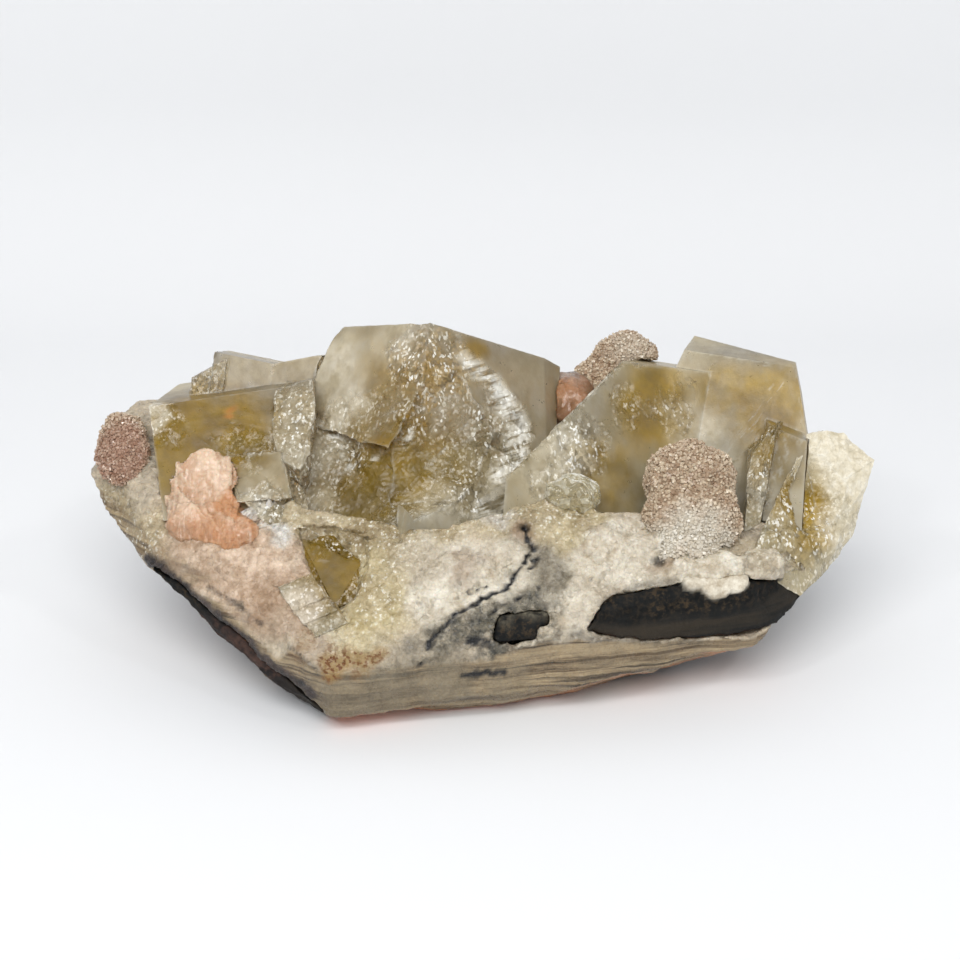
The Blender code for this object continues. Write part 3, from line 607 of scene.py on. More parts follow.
def crust_finish():
    rock = bpy.context.scene.specimen_rock
    f = Finish("chalcedony crust")
    cloud, grain, mottling = f.mottling(0.6)
    colour = f.mix(mottling, scaled(rock.stone, 0.62), rock.stone)
    for zone, dark, light in (*CRUST_TONES, ("white", (0.56, 0.47, 0.34), rock.cream)):
        colour = f.zone(zone, colour, f.mix(mottling, dark, light))
    colour = f.zone("silver", colour, f.mix(grain, (0.42, 0.38, 0.32), (0.93, 0.90, 0.84)))
    slate = f.math("MULTIPLY", f.attribute("slate"), f.spread(f.noise(330, 5, 0.7), 0.36, 0.5), True)
    colour = f.over(colour, f.mix(grain, *SLATE), slate)
    colour = f.zone("rim", colour, rim_colour(f, cloud))
    colour = f.zone("moss", colour, f.mix(cloud, (0.15, 0.125, 0.08), (0.30, 0.25, 0.17)), 0.75)
    colour = f.zone("under", colour, (0.72, 0.27, 0.13))
    # Painted glints: near-white flecks on the glassy and yellow zones
    sparkling = f.math("ADD", f.attribute("glassy"), f.times(f.attribute("yellow"), 0.8), True)
    painted_glints = f.times(f.spread(f.voronoi(2000, "Color"), 0.70, 0.78), f.spread(grain, 0.35, 0.75))
    colour = f.over(colour, (0.97, 0.94, 0.82), painted_glints, f.times(sparkling, 0.7))
    specks = f.spread(f.noise(700, 3), 0.66, 0.74)
    colour = f.over(colour, (0.20, 0.13, 0.07), specks, 0.35)
    colour = f.zone("brown", colour, (0.26, 0.15, 0.075))
    colour = f.zone("rust", colour, (0.32, 0.19, 0.055), 0.8)
    dots = f.times(f.attribute("rust"), f.spread(f.noise(850, 3), 0.51, 0.58))
    colour = f.over(colour, (0.17, 0.062, 0.012), dots)
    colour = f.zone("band", colour, f.mix(mottling, (0.011, 0.010, 0.010), (0.085, 0.058, 0.046)))
    # Dark is the crack, the seam and the pits, and painted shade along the crust's edge over the basalt lens
    colour = f.zone("dark", colour, (0.012, 0.012, 0.013))
    sugar = f.math("ADD", f.facets(620, 0.95), f.facets(1500, 0.7))
    smoother = f.math("SUBTRACT", 1.0, f.times(f.attribute("rim"), 0.6))
    grains = f.bump(f.times(sugar, smoother), 1.0)
    glossy = f.math("ADD", f.attribute("glassy"), f.attribute("silver"), True)
    rough = f.spread(f.noise(1100, 2), 0.35, 0.65, 0.22, 0.6)
    f.set(
        Base_Color=colour, Roughness=f.math("SUBTRACT", rough, f.times(glossy, 0.16), True),
        Normal=f.bump(f.noise(420, 5, 0.7), 0.4 * MM, 0.7, grains), Subsurface_Weight=0.2,
        Subsurface_Scale=1.5 * MM, Subsurface_Radius=(1.0, 0.7, 0.4),
    )
    return f.material


def basalt_finish():
    rock = bpy.context.scene.specimen_rock
    f = Finish("basalt")
    grain = f.noise(500, 6, 0.7)
    colour = f.mix(f.spread(grain, 0.4, 0.7), rock.basalt, (0.018, 0.018, 0.017))
    brown = f.spread(f.noise(160, 4), 0.46, 0.62)
    streaks = f.spread(f.noise(90, 4, 0.6, f.stretched((0.25, 0.5, 3.0))), 0.42, 0.62)
    smooth = f.mix(streaks, (0.014, 0.015, 0.015), (0.045, 0.036, 0.026))
    smooth = f.zone("ruddy", smooth, f.mix(brown, (0.022, 0.017, 0.016), (0.115, 0.062, 0.046)))
    colour = f.zone("coarse", smooth, colour)
    upper = f.times(f.spread(f.noise(820, 4, 0.7), 0.48, 0.62), f.attribute("coarse"))
    flecks = f.times(upper, f.math("ADD", 0.25, f.times(brown, 0.5)))
    colour = f.over(colour, (0.075, 0.05, 0.027), flecks)
    _, sugar, mottling = f.mottling(0.4)
    colour = f.zone("white", colour, f.mix(mottling, (0.46, 0.38, 0.27), rock.cream))
    ash = f.times(f.attribute("ash"), f.spread(f.noise(330, 5, 0.7), 0.36, 0.54))
    colour = f.over(colour, f.mix(sugar, *SLATE), ash)
    colour = f.zone("under", colour, (0.30, 0.12, 0.07))
    height = f.math("ADD", f.noise(1100, 5, 0.7), f.times(f.voronoi(900), 0.6))
    f.set(
        Base_Color=colour, Roughness=f.spread(grain, 0.3, 0.7, 0.5, 0.85),
        Normal=f.bump(height, 0.2 * MM, 0.8), Specular_IOR_Level=0.14,
    )
    return f.material


def calcite_finish(name, clearness, density):
    """Frosted, honey and broken calcite, with painted shade, glints and highlights. The painted attributes
    say which is where.
    """
    calcite = bpy.context.scene.specimen_calcite
    f = Finish(name)
    broad = f.spread(f.noise(45, 4, 0.55), 0.35, 0.65)
    cloud = f.noise(110, 5, 0.62)
    fine = f.noise(420, 5, 0.65)
    honey = f.math("MULTIPLY", f.attribute("honey"), f.spread(cloud, 0.25, 0.6, 0.88, 1.0), True)
    milk = f.math("MULTIPLY", f.attribute("milk"), f.spread(fine, 0.3, 0.62, 0.45, 1.0), True)
    # The glossy highlight attribute is where highlight streaks are painted and the surface is glossier
    crackle, glossy_highlight = f.attribute("crackle"), f.attribute("glossy_highlight")
    colour = f.mix(broad, (0.56, 0.46, 0.26), calcite.frosted)
    # Painted shade: the grey zone darkens the back and top faces
    colour = f.zone("grey", colour, f.mix(cloud, scaled(calcite.grey, 0.7), calcite.grey))
    veils = f.spread(f.noise(310, 6, 0.75, f.stretched((1.0, 1.0, 0.6), (0.2, 0.5, 0))), 0.4, 0.62)
    colour = f.over(colour, (0.84, 0.78, 0.60), veils, 0.3)
    deep = f.spread(cloud, 0.36, 0.62)
    colour = f.over(colour, f.mix(deep, (0.30, 0.175, 0.004), calcite.honey), honey)
    colour = f.over(colour, (0.78, 0.58, 0.14), veils, f.times(honey, 0.14))
    colour = f.over(colour, calcite.milk, milk)
    streaks = f.spread(f.noise(260, 4, 0.6, f.stretched((1.0, 1.0, 0.12))), 0.5, 0.7)
    streaks = f.times(streaks, f.math("SUBTRACT", 0.35, f.times(honey, 0.33)))
    colour = f.over(colour, (0.78, 0.75, 0.66), streaks)
    olive = f.spread(f.noise(150, 5, 0.65, f.stretched((1.0, 1.0, 0.3), (0.3, 0.2, 0))), 0.52, 0.68)
    colour = f.over(colour, (0.34, 0.26, 0.10), olive, 0.4)
    flecks = f.spread(f.noise(1900, 2), 0.66, 0.72)
    colour = f.over(colour, (0.26, 0.2, 0.09), flecks, 0.12)
    # Painted glints where the calcite is crackled, and painted highlight streaks along the glossy highlights
    painted_glints = f.spread(f.voronoi(2100, "Color", f.stretched((1, 1, 0.5), (0.4, 0.5, 0))), 0.68, 0.76)
    painted_glints = f.times(painted_glints, f.spread(fine, 0.4, 0.56))
    stripes = f.spread(f.noise(620, 3, 0.6, f.stretched((0.22, 0.22, 1.6))), 0.38, 0.52)
    bright = f.math("ADD", f.times(painted_glints, crackle), f.times(stripes, glossy_highlight), True)
    colour = f.over(colour, calcite.glint, bright, 0.88)
    # Painted highlight along the sharp edges
    colour = f.zone("edge", colour, (0.86, 0.82, 0.70), f.spread(fine, 0.4, 0.6, 0.1, 0.6))
    colour = f.zone("red", colour, (0.50, 0.13, 0.03), 0.7)
    # Less light passes where the milky veils, the red stain and the painted glints and highlight streaks are
    veil_and_highlight = f.math("ADD", f.times(milk, 0.42), f.times(bright, 0.6))
    veil_and_highlight = f.math("ADD", veil_and_highlight, f.times(f.attribute("red"), 0.4))
    gloss = f.math("MAXIMUM", crackle, glossy_highlight)
    large = f.facets(330, 1.1, f.stretched((1, 1, 0.45), (0.5, 0.3, 0)))
    splinters = f.math("ADD", large, f.facets(900, 0.9))
    frost = f.bump(f.math("ADD", f.noise(2600, 3), f.noise(500, 3)), 0.06 * MM, 0.6)
    f.set(
        Base_Color=colour, IOR=1.6, Specular_IOR_Level=0.2,
        Roughness=f.math("SUBTRACT", f.spread(fine, 0.3, 0.7, 0.42, 0.26), f.times(gloss, 0.24), True),
        Transmission_Weight=f.math("SUBTRACT", calcite.clear * clearness, veil_and_highlight, True),
        Normal=f.bump(f.times(splinters, gloss), 1.0, 1.0, frost),
    )
    f.absorb((0.88, 0.72, 0.25), density)
    return f.material


def chip_finish():
    """Clear, with painted highlights on its glancing edges and painted glints."""
    f = Finish("clear calcite")
    # Painted highlight: the base colour turns lighter where the surface turns away from the camera
    facing = f.node("ShaderNodeLayerWeight", {"Blend": 0.35}).outputs["Facing"]
    edge = f.spread(facing, 0.2, 0.6)
    veil_and_highlight = f.math("ADD", f.times(f.attribute("milk"), 0.6), f.times(edge, 0.8), True)
    # Painted glints
    painted_glints = f.spread(f.voronoi(700, "Color"), 0.6, 0.7)
    veil_and_highlight = f.math("ADD", veil_and_highlight, f.times(painted_glints, 0.35), True)
    f.set(
        Base_Color=f.mix(veil_and_highlight, (0.86, 0.77, 0.50), (0.97, 0.95, 0.86)), Roughness=0.08, IOR=1.6,
        Transmission_Weight=f.math("SUBTRACT", 0.72, f.times(veil_and_highlight, 0.5)),
        Normal=f.bump(f.math("ADD", f.facets(420, 0.8), f.facets(1100, 0.5)), 1.0),
    )
    f.absorb((0.84, 0.72, 0.35), 60.0)
    return f.material


def stilbite_finish(name, along, shade=1.0):
    """Pearly peach. The ribs run the way along points."""
    peach = scaled(bpy.context.scene.specimen_stilbite.peach, shade)
    f = Finish(name)
    ribs = f.noise(300, 4, 0.6, f.stretched(along))
    cloud = f.noise(160, 4)
    colour = f.mix(f.spread(cloud, 0.3, 0.68), scaled(peach, 0.78), peach)
    colour = f.over(colour, (0.84, 0.64, 0.50), f.spread(ribs, 0.5, 0.7), shade)
    colour = f.zone("pale", colour, (0.86, 0.66, 0.48), 0.7)
    colour = f.zone("orange", colour, (0.56, 0.26, 0.11))
    f.set(
        Base_Color=colour, Roughness=f.spread(cloud, 0.3, 0.7, 0.22, 0.4), Subsurface_Weight=0.35,
        Subsurface_Scale=2.5 * MM, Subsurface_Radius=(1.0, 0.55, 0.35), Coat_Weight=0.25, Coat_Roughness=0.2,
        Normal=f.bump(f.math("ADD", f.facets(340, 0.8, f.stretched((1, 1, 0.35))), f.facets(1200, 0.4)), 1.0),
    )
    return f.material


def druse_finish(name):
    druse = bpy.context.scene.specimen_druse
    f = Finish(name)
    shade = f.attribute("shade")
    colour = f.mix(shade, druse.warm, druse.pale)
    colour = f.zone("snow", colour, f.mix(shade, (0.80, 0.72, 0.58), (0.95, 0.90, 0.80)))
    colour = f.zone("red", colour, (0.42, 0.20, 0.14), 0.8)
    f.set(
        Base_Color=colour, Roughness=f.spread(shade, 0, 1, 0.26, 0.1), IOR=1.55,
        Normal=f.bump(f.facets(1900, 0.6), 1.0), Transmission_Weight=0.15,
    )
    return f.material


# The rock

# How high the banded rim under the front edge reaches, from left to right
RIM_TOP = ((-84, 35.6), (-27, 16.8), (2, 16.8), (12, 19.5), (30, 19), (44, 17), (70, 17))
RIM_FADE = 1.2  # the height over which the rim's bands end, in mm
# The edge lines are painted shade where the crust meets the basalt lens
LINE_WIDTHS = {"crack": 0.75, "lens": 1.4, "seam": 0.7, "band": 2.9, "edge": 1.7}  # half of each, in mm
CRACK_DEPTH = 0.8 * MM
SEAM_DEPTH = 0.45 * MM
PIT_DEPTH = 0.9 * MM
SWELL = 0.3 * MM  # of the broad unevenness
LUMP_SIZE = 4.2 * MM
SMALL_LUMP_SIZE = 1.7 * MM
LEDGE_HEIGHT = 0.35  # of the rim's layers and the pink columns, in mm
LEDGE_STEPS = 5
COLUMN_STEPS = 4


def fine_piece(name, node, voxel):
    """A CAD node as a piece with an even mesh. Returns the mesh, its points and its normals too."""
    piece = add_piece(name, solid(node))
    remesh(piece, voxel)
    return piece, piece.data, points_of(piece.data), normals_of(piece.data)


def raise_rock(mesh, points, normals, height):
    """Moves the points out by height, onto the crystals in their sockets, and not below the floor."""
    points = reach_crystals(points + normals * height[:, None])
    points[:, 2] = points[:, 2].clip(0)
    move_points(mesh, points)


def make_crust():
    rock = bpy.context.scene.specimen_rock
    piece, mesh, points, normals = fine_piece("crust", "chalcedony_crust", CRUST_VOXEL)
    values = paint(mesh, {name: spots for name, spots in CRUST_SPOTS.items() if name != "dark"})
    where = design(points)
    edged = wobbled(points, 0.9, 1.6 * MM)
    lines = {name: near_paths(edged, CRUST_PATHS[name], width) for name, width in LINE_WIDTHS.items()}
    crack, seam = lines["crack"] + 0.8 * lines["lens"], lines["seam"]
    pits = near_spots(edged, CRUST_SPOTS["dark"])
    front = np.clip((0.55 - normals[:, 2]) * 4, 0, 1)
    rim_top = np.interp(where[:, 0], *zip(*RIM_TOP))
    rim = front * np.clip((rim_top - edged[:, 2]) / RIM_FADE, 0, 1)
    under = np.clip((-normals[:, 2] - 0.72) * 5, 0, 1) * (where[:, 2] < rim_top + 1)
    ledges = fractal(points * np.array((0.25, 0.25, 2.2)), 4 * MM, 5)
    middle, border = cells(points, LUMP_SIZE)
    small_middle, _ = cells(points + 0.1, SMALL_LUMP_SIZE)
    columns = fractal(points * np.array((2.4, 1.0, 1.0)), 3.2 * MM, 3)
    height = rock.grain * fractal(points, 1.5 * MM, 4) * (1 - 0.5 * rim)
    height += SWELL * fractal(points + 0.2, 5 * MM, 3)
    height += values["white"] * rock.lumps * (0.55 - middle) * np.clip(border * 6, 0.2, 1)
    height += values["white"] * 0.3 * rock.lumps * (0.5 - small_middle)
    height += rim * LEDGE_HEIGHT * MM * (np.floor(ledges * LEDGE_STEPS) / LEDGE_STEPS)
    height += values["pink"] * LEDGE_HEIGHT * MM * np.floor(columns * COLUMN_STEPS) / COLUMN_STEPS
    height -= CRACK_DEPTH * crack + SEAM_DEPTH * seam + PIT_DEPTH * pits
    raise_rock(mesh, points, normals, height)
    store(mesh, "rim", rim)
    store(mesh, "under", under)
    # Dark holds the crack, the seam and the pits, and painted shade along the edge lines
    store(mesh, "dark", np.clip(np.clip(crack * 2.2, 0, 1) + 0.8 * seam + pits + 0.6 * lines["edge"], 0, 1))
    store(mesh, "band", np.clip(lines["band"] * 2.5, 0, 1))
    mesh.shade_smooth()
    wear(piece, crust_finish(), "chalcedony_crust")


# Where the basalt's painted zones begin and end, in millimetres of the design frame
LENS_MIDDLE = 2
LENS_HALF_LENGTH = 17
LENS_BACK = -30
ASH_BOTTOM = 22.6
RUDDY_END = -38
COARSE_BOTTOM = 19.5

LUMP_RISE = 1.3  # of the white lumps on the basalt, in mm
LUMP_UNEVENNESS = 0.8
STEP_RELIEF = 0.35 * MM  # of the basalt's flat breaks
STEP_COUNT = 4


def make_basalt():
    piece, mesh, points, normals = fine_piece("basalt", "basalt_matrix", BASALT_VOXEL)
    store(mesh, "under", np.clip((-normals[:, 2] - 0.8) * 4, 0, 1) * 0.6)
    lumps = np.clip(3 * near_spots(wobbled(points, 0.7, 3 * MM), BASALT_LUMPS), 0, 1)
    store(mesh, "white", lumps)
    where = wobbled(points, 1.5, 4 * MM)
    small_lens = np.clip((LENS_HALF_LENGTH - np.abs(where[:, 0] - LENS_MIDDLE)) / 3, 0, 1)
    small_lens = small_lens * (where[:, 1] < LENS_BACK)
    store(mesh, "ash", 0.8 * small_lens * np.clip((where[:, 2] - ASH_BOTTOM) / 1.5, 0, 1))
    store(mesh, "ruddy", np.clip((RUDDY_END - where[:, 0]) / 6, 0, 1))
    store(mesh, "coarse", np.clip((where[:, 2] - COARSE_BOTTOM - 0.03 * where[:, 0]) / 2, 0.15, 1))
    breaks = np.floor(STEP_COUNT * fractal(points, 7 * MM, 3))
    height = SWELL * fractal(points, 1.8 * MM, 4) + STEP_RELIEF * breaks / STEP_COUNT
    height += lumps * (LUMP_RISE + LUMP_UNEVENNESS * fractal(points, 2.2 * MM, 3)) * MM
    raise_rock(mesh, points, normals, height)
    mesh.shade_smooth()
    wear(piece, basalt_finish(), "basalt_matrix")


# The crystals


def crystal_body(name, node, step):
    """A CAD crystal broken up finely, with its grown faces told from its broken ones.

    Returns the piece and how broken each of its points is, from 0 to 1.
    """
    bm = solid(node)
    bmesh.ops.dissolve_limit(
        bm, angle_limit=math.radians(1.2), use_dissolve_boundaries=False, verts=bm.verts, edges=bm.edges
    )
    grown = bm.faces.layers.int.new("grown")
    for face in bm.faces:
        face[grown] = face.calc_area() > GROWN_FACE
    break_up(bm, step)
    for edge in bm.edges:
        edge.smooth = len(edge.link_faces) == 2 and edge.calc_face_angle(0) < SHARP
    for face in bm.faces:
        face.smooth = bool(face[grown])
    around = [[face[grown] for face in vert.link_faces] for vert in bm.verts]
    broken = np.array([1 - sum(flags) / len(flags) for flags in around])
    edged = [any(not edge.smooth for edge in vert.link_edges) for vert in bm.verts]
    piece = add_piece(name, bm)
    # The sharp edges, where the finish paints a highlight
    store(piece.data, "edge", edged)
    return piece, broken


def cleave(mesh, broken, crackle, height):
    """Raises stepped relief where the crystal is broken or crackled, and faint growth lines elsewhere."""
    points, normals = points_of(mesh), normals_of(mesh)
    steps = fractal(points, 3.6 * MM, 4) * 4
    fine = fractal(points + 0.3, 1.3 * MM, 3)
    stepped = np.floor(steps) + np.clip((steps - np.floor(steps)) * 3 - 1, 0, 1)
    lines = fractal(points * np.array((1.0, 1.0, 0.25)), 1.6 * MM, 3)
    rough = np.clip(0.6 * broken + crackle, 0, 1)
    move = rough * height * (0.55 * stepped + 0.5 * fine) + (1 - rough) * 0.06 * MM * lines
    move_points(mesh, points + normals * move[:, None])


# The grey layer is painted shade on the back and top faces
CRYSTAL_LAYERS = ("honey", "milk", "grey", "red")


def make_crystal(name, node, spots, glossy_highlights=(), step=CRYSTAL_STEP, clearness=1.0, density=90.0):
    calcite = bpy.context.scene.specimen_calcite
    piece, broken = crystal_body(name, node, step)
    paint(piece.data, {layer: spots.get(layer, ()) for layer in CRYSTAL_LAYERS})
    where = wobbled(points_of(piece.data), 3.5, 3.5 * MM)
    crackle = near_spots(where, spots["crackle"])
    calmer = 0.6 * design(points_of(piece.data)) + 0.4 * where
    # Painted highlight streaks along the given paths, which the finish also makes glossier
    bands = [near_paths(calmer, (path,), width) for width, path in glossy_highlights] or [np.zeros(len(where))]
    store(piece.data, "glossy_highlight", np.max(bands, axis=0))
    cleave(piece.data, broken, crackle, calcite.crackle)
    calm = near_spots(where, spots.get("calm", ()))
    store(piece.data, "crackle", np.clip(0.5 * broken + crackle, 0, 1) * (1 - calm))
    wear(piece, calcite_finish(name.replace("_", " "), clearness, density), node)


CHIP_RELIEF = 0.25 * MM


def make_chip():
    piece, broken = crystal_body("clear_chip", "calcite_chip", CHIP_STEP)
    paint(piece.data, {"milk": CHIP_MILK})
    cleave(piece.data, broken, np.ones(len(broken)), CHIP_RELIEF)
    wear(piece, chip_finish(), "calcite_chip")


# Stilbite

BLADES = 6  # blades of the fan for each radian
FAN_ROOT = (-55, -20, 30)
FAN_BOTTOM = 35  # the fan's blades fade out below this height


def make_sheaf():
    stilbite = bpy.context.scene.specimen_stilbite
    piece, mesh, points, normals = fine_piece("peach_sheaf", "stilbite_sheaf", SHEAF_VOXEL)
    out = points - np.array(spot(*FAN_ROOT))
    reach = np.linalg.norm(out, axis=1)
    angle = np.arctan2(out[:, 0], out[:, 2] + 0.6 * out[:, 1])
    blade = angle * BLADES + 0.35 * fractal(points, 5 * MM, 2)
    steps = np.array([noise.noise((math.floor(b) * 7.3, 0.5, r / (11 * MM))) for b, r in zip(blade, reach)])
    within = blade - np.floor(blade)
    upper = np.clip((design(points)[:, 2] - FAN_BOTTOM) / 3, 0, 1)
    height = stilbite.ridge * (steps * 2.6 + 1.0 * within) * (0.35 + 0.65 * upper)
    height += 0.18 * MM * np.floor(3 * fractal(points, 3 * MM, 3))
    move_points(mesh, points + normals * height[:, None])
    store(mesh, "pale", np.clip(0.35 + 1.6 * steps + 0.5 * within, 0, 1) * upper)
    paint(mesh, {"orange": ((-55.3, -17, 38.5, 5, 0.9), (-52, -20, 33, 6, 0.7), (-58, -24, 33, 8, 0.7))})
    mesh.shade_smooth()
    wear(piece, stilbite_finish("peach stilbite", (3.0, 1.0, 0.5)), "stilbite_sheaf")


def make_salmon():
    piece, mesh, points, normals = fine_piece("salmon_mass", "stilbite_back", SALMON_VOXEL)
    height = SWELL * fractal(points, 3 * MM)
    move_points(mesh, points + normals * height[:, None])
    paint(mesh, {"orange": ((21, 15, 50, 8, 0.5),)})
    mesh.shade_smooth()
    wear(piece, stilbite_finish("salmon stilbite", (1, 1, 1), 0.38), "stilbite_back")


# Druse

BATCH = 150  # crystals set in one bmesh, which stays quick while it is small
DRUSE_SWELL = 0.35 * MM
DRUSE_SINK = 0.3 * MM  # how far the base lies under the CAD surface, to leave room for the crystals


def scatter(mesh, spacing, chance):
    """Seeded places on the mesh no closer than spacing, as (point, normal)."""
    triangles = [[mesh.vertices[i].co for i in triangle.vertices] for triangle in mesh.loop_triangles]
    places, taken = [], {}
    for a, b, c in triangles:
        cross = (b - a).cross(c - a)
        wanted = cross.length / 2 / (spacing * spacing) * 2.2
        for _ in range(int(wanted) + (chance.random() < wanted % 1)):
            u, v = chance.random(), chance.random()
            if u + v > 1:
                u, v = 1 - u, 1 - v
            point = a + (b - a) * u + (c - a) * v
            key = tuple(int(math.floor(x / spacing)) for x in point)
            close = (
                other
                for dx in (-1, 0, 1) for dy in (-1, 0, 1) for dz in (-1, 0, 1)
                for other in taken.get((key[0] + dx, key[1] + dy, key[2] + dz), ())
            )
            if any((point - other).length < spacing for other in close):
                continue
            taken.setdefault(key, []).append(point)
            places.append((point, cross.normalized()))
    return places


def druse_crystal(bm, place, size, chance):
    """A small block, turned at random and set into the base at place."""
    turn = Euler([chance.uniform(0, math.tau) for _ in range(3)]).to_matrix().to_4x4()
    shape = Matrix.Diagonal([size * chance.uniform(0.6, 1.2) for _ in range(3)]).to_4x4()
    bmesh.ops.create_cube(bm, size=1.0, matrix=Matrix.Translation(place) @ turn @ shape)


def make_druse(name, node, seed, snow, red):
    """A smooth base set with small glinting crystals."""
    druse = bpy.context.scene.specimen_druse
    chance = random.Random(seed)
    piece, mesh, points, normals = fine_piece(name, node, DRUSE_VOXEL)
    height = DRUSE_SWELL * fractal(points, 4 * MM) - DRUSE_SINK
    move_points(mesh, points + normals * height[:, None])
    mesh.calc_loop_triangles()
    places = scatter(mesh, druse.spacing, chance)
    whole = bmesh.new()
    whole.from_mesh(mesh)
    shade_layer = whole.verts.layers.float.new("shade")
    for vert in whole.verts:
        vert[shade_layer] = 0.15
    batch_mesh = bpy.data.meshes.new("batch")
    for first in range(0, len(places), BATCH):
        batch = bmesh.new()
        layer = batch.verts.layers.float.new("shade")
        for point, normal in places[first:first + BATCH]:
            size = druse.length * chance.uniform(0.55, 1.0)
            count = len(batch.verts)
            druse_crystal(batch, point + normal * size * chance.uniform(0.1, 0.45), size, chance)
            tone = min(1.0, max(0.0, chance.gauss(0.5, 0.3)))
            batch.verts.ensure_lookup_table()
            for vert in batch.verts[count:]:
                vert[layer] = tone
        batch.to_mesh(batch_mesh)
        batch.free()
        whole.from_mesh(batch_mesh)
    bpy.data.meshes.remove(batch_mesh)
    whole.to_mesh(mesh)
    whole.free()
    paint(mesh, {"snow": snow, "red": red}, 2.0, 3 * MM)
    mesh.shade_flat()
    wear(piece, druse_finish(name.replace("_", " ")), node)


# Stage

FLOOR_HALF = 1400 * MM
WALL_DEPTH = 172 * MM  # how far behind the specimen the floor starts to rise
BEND_RADIUS = 60 * MM
WALL_HEIGHT = 1500 * MM
BEND_SEGMENTS = 16


def make_stage():
    """The floor, which bends up into the wall behind. The wall can be looked through from its back."""
    stage = bpy.context.scene.specimen_stage
    bm = bmesh.new()
    start = [bm.verts.new((x, -FLOOR_HALF, 0)) for x in (-FLOOR_HALF, FLOOR_HALF)]
    edge = bm.edges.new(start)

    def pull(edges, step):
        made = bmesh.ops.extrude_edge_only(bm, edges=edges)["geom"]
        bmesh.ops.translate(bm, verts=[v for v in made if isinstance(v, bmesh.types.BMVert)], vec=step)
        return [e for e in made if isinstance(e, bmesh.types.BMEdge)]

    edges = pull([edge], Vector((0, FLOOR_HALF + WALL_DEPTH, 0)))
    for i in range(BEND_SEGMENTS):
        a, b = (math.pi / 2 * k / BEND_SEGMENTS for k in (i, i + 1))
        step = Vector((0, math.sin(b) - math.sin(a), math.cos(a) - math.cos(b))) * BEND_RADIUS
        edges = pull(edges, step)
    pull(edges, Vector((0, 0, WALL_HEIGHT)))
    bmesh.ops.recalc_face_normals(bm, faces=bm.faces)
    floor = add_piece("studio_floor", bm)
    if floor.data.polygons[0].normal.z < 0:
        floor.data.flip_normals()
    floor.data.shade_smooth()
    f = Finish("studio floor")
    f.set(Base_Color=(*stage.floor, 1.0), Roughness=0.75, Specular_IOR_Level=0.2)
    behind = f.node("ShaderNodeNewGeometry").outputs["Backfacing"]
    seen = f.node("ShaderNodeMixShader", {"Fac": behind})
    f.tree.links.new(f.shader.outputs["BSDF"], seen.inputs[1])
    f.tree.links.new(f.node("ShaderNodeBsdfTransparent").outputs["BSDF"], seen.inputs[2])
    f.tree.links.new(seen.outputs["Shader"], f.output.inputs["Surface"])
    floor.data.materials.append(f.material)


# Each light's name, place in millimetres, width and depth in metres, and share of the softbox's power
LIGHTS = (
    ("key", (-60, -520, 700), 0.7, 0.45, 1.0),
    ("left glint", (-420, -420, 620), 0.06, 0.06, 0.1),
    ("right glint", (430, -300, 660), 0.05, 0.05, 0.08),
)
LIGHT_AIM = Vector((0, 0, 30)) * MM


def add_softbox(name, place, width, depth, power):
    light = bpy.data.lights.new(name, "AREA")
    light.shape = "RECTANGLE"
    light.size, light.size_y, light.energy = width, depth, power
    lamp = bpy.data.objects.new(name, light)
    lamp.location = place
    lamp.rotation_euler = (LIGHT_AIM - lamp.location).to_track_quat("-Z", "Y").to_euler()
    bpy.context.scene.collection.objects.link(lamp)


def light_stage():
    stage = bpy.context.scene.specimen_stage
    world = bpy.data.worlds.new("soft studio")
    world.use_nodes = True
    background = world.node_tree.nodes["Background"]
    background.inputs["Color"].default_value = (0.96, 0.98, 1.0, 1.0)
    background.inputs["Strength"].default_value = stage.dome
    bpy.context.scene.world = world
    for name, place, width, depth, share in LIGHTS:
        add_softbox(name, Vector(place) * MM, width, depth, stage.softbox * share)


def place_camera():
    data = bpy.data.cameras.new("photo camera")
    data.sensor_width = SENSOR
    data.lens = SENSOR / 2 / math.tan(VIEW_ANGLE / 2)
    camera = bpy.data.objects.new("photo camera", data)
    back = Vector((0, -math.cos(CAMERA_ELEVATION), math.sin(CAMERA_ELEVATION)))
    camera.location = SHIFT + CAMERA_TARGET + back * CAMERA_DISTANCE
    camera.rotation_euler = (math.pi / 2 - CAMERA_ELEVATION, 0, 0)
    bpy.context.scene.collection.objects.link(camera)
    bpy.context.scene.camera = camera
    bpy.context.scene.view_settings.view_transform = "Standard"


# Operators


class SPECIMEN_OT_rock(bpy.types.Operator):
    """Makes the crust and the basalt"""

    bl_idname = "specimen.rock"
    bl_label = "Crust and basalt"

    def execute(self, context):
        make_crust()
        make_basalt()
        return {"FINISHED"}


class SPECIMEN_OT_crystals(bpy.types.Operator):
    """Makes the calcite crystals and the clear chip"""

    bl_idname = "specimen.crystals"
    bl_label = "Calcite crystals"

    def execute(self, context):
        make_crystal("centre_crystal", "calcite_centre", CENTRE_SPOTS, CENTRE_GLOSSY_HIGHLIGHTS)
        make_crystal("left_crystals", "calcite_left_cluster", LEFT_SPOTS)
        make_crystal(
            "right_crystals", "calcite_right_cluster", RIGHT_SPOTS, RIGHT_GLOSSY_HIGHLIGHTS,
            clearness=0.88, density=60.0,
        )
        make_crystal(
            "front_left_crystal", "calcite_front_left", FRONT_LEFT_SPOTS, step=SMALL_CRYSTAL_STEP
        )
        make_crystal(
            "far_right_chunk", "calcite_far_right", FAR_RIGHT_SPOTS, step=SMALL_CRYSTAL_STEP,
            clearness=0.6,
        )
        make_chip()
        return {"FINISHED"}


class SPECIMEN_OT_stilbite(bpy.types.Operator):
    """Makes the peach sheaf and the salmon mass"""

    bl_idname = "specimen.stilbite"
    bl_label = "Stilbite"

    def execute(self, context):
        make_sheaf()
        make_salmon()
        return {"FINISHED"}


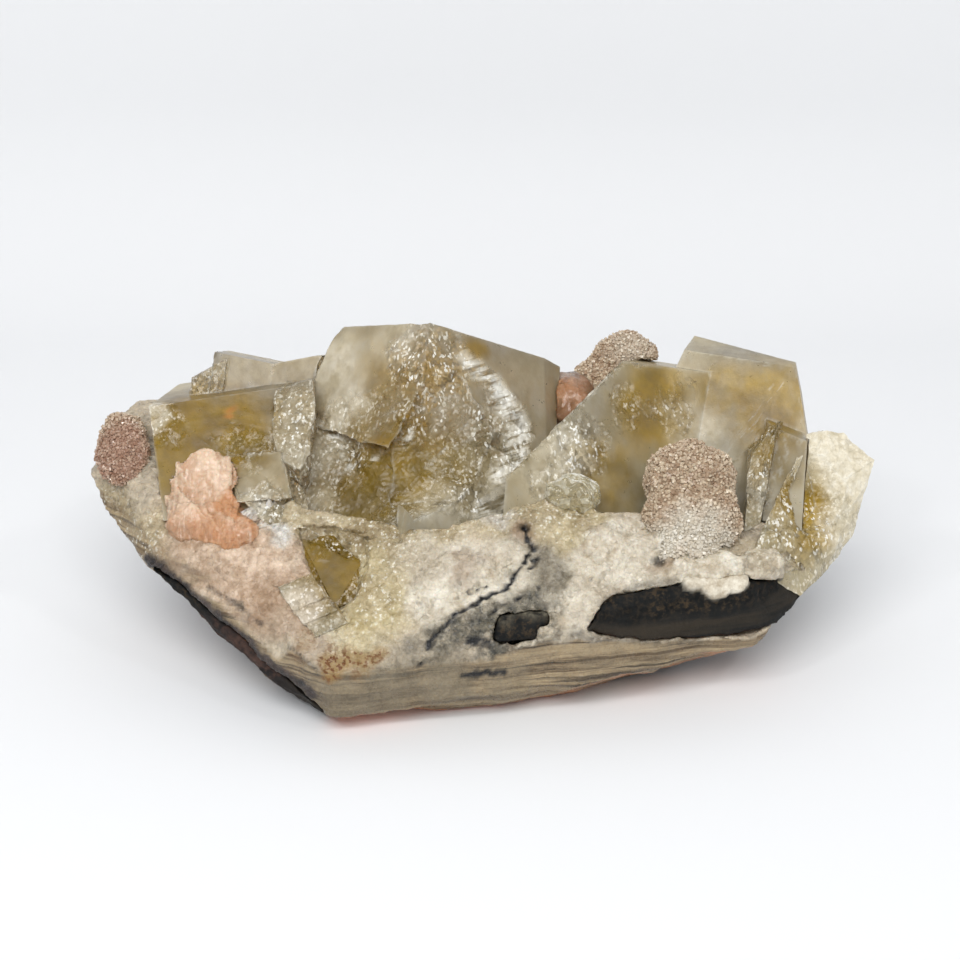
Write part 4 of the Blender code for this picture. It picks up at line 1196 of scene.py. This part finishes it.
class SPECIMEN_OT_druse(bpy.types.Operator):
    """Makes the three patches of small glinting crystals"""

    bl_idname = "specimen.druse"
    bl_label = "Druse"

    def execute(self, context):
        make_druse("left_druse", "druse_left", 11, (), ((-82, -6, 46, 12, 0.7),))
        make_druse(
            "front_druse", "druse_knob_front", 12,
            ((47, -26, 36, 9, 0.9), (42, -25, 33, 8, 1), (50, -24, 32, 8, 0.9)), (),
        )
        make_druse("back_druse", "druse_knob_back", 13, ((36, 26, 57, 7, 0.4),), ())
        return {"FINISHED"}


class SPECIMEN_OT_stage(bpy.types.Operator):
    """Makes the floor, the lights and the camera"""

    bl_idname = "specimen.stage"
    bl_label = "Stage"

    def execute(self, context):
        make_stage()
        light_stage()
        place_camera()
        return {"FINISHED"}


class SPECIMEN_PT_panel(bpy.types.Panel):
    """Lists the specimen's pieces and what can be changed on them"""

    bl_idname = "SPECIMEN_PT_panel"
    bl_label = "Calcite specimen"
    bl_space_type = "VIEW_3D"
    bl_region_type = "UI"
    bl_category = "Specimen"

    def draw(self, context):
        for label, name, _, operator in PIECES:
            box = self.layout.box()
            box.label(text=label)
            settings = getattr(context.scene, name)
            for key in settings.__annotations__:
                box.prop(settings, key)
            box.operator(operator)


PIECES = (
    ("Crust and basalt", "specimen_rock", SpecimenRock, "specimen.rock"),
    ("Calcite", "specimen_calcite", SpecimenCalcite, "specimen.crystals"),
    ("Stilbite", "specimen_stilbite", SpecimenStilbite, "specimen.stilbite"),
    ("Druse", "specimen_druse", SpecimenDruse, "specimen.druse"),
    ("Stage", "specimen_stage", SpecimenStage, "specimen.stage"),
)
CLASSES = (
    *(group for _, _, group, _ in PIECES), SPECIMEN_OT_rock, SPECIMEN_OT_crystals, SPECIMEN_OT_stilbite,
    SPECIMEN_OT_druse, SPECIMEN_OT_stage, SPECIMEN_PT_panel,
)


def register():
    for cls in CLASSES:
        bpy.utils.register_class(cls)
    for _, name, group, _ in PIECES:
        setattr(bpy.types.Scene, name, bpy.props.PointerProperty(type=group))


def unregister():
    for _, name, _, _ in PIECES:
        delattr(bpy.types.Scene, name)
    for cls in reversed(CLASSES):
        bpy.utils.unregister_class(cls)


def main():
    register()
    bpy.ops.specimen.rock()
    bpy.ops.specimen.crystals()
    bpy.ops.specimen.stilbite()
    bpy.ops.specimen.druse()
    bpy.ops.specimen.stage()


if __name__ == "__main__":
    main()
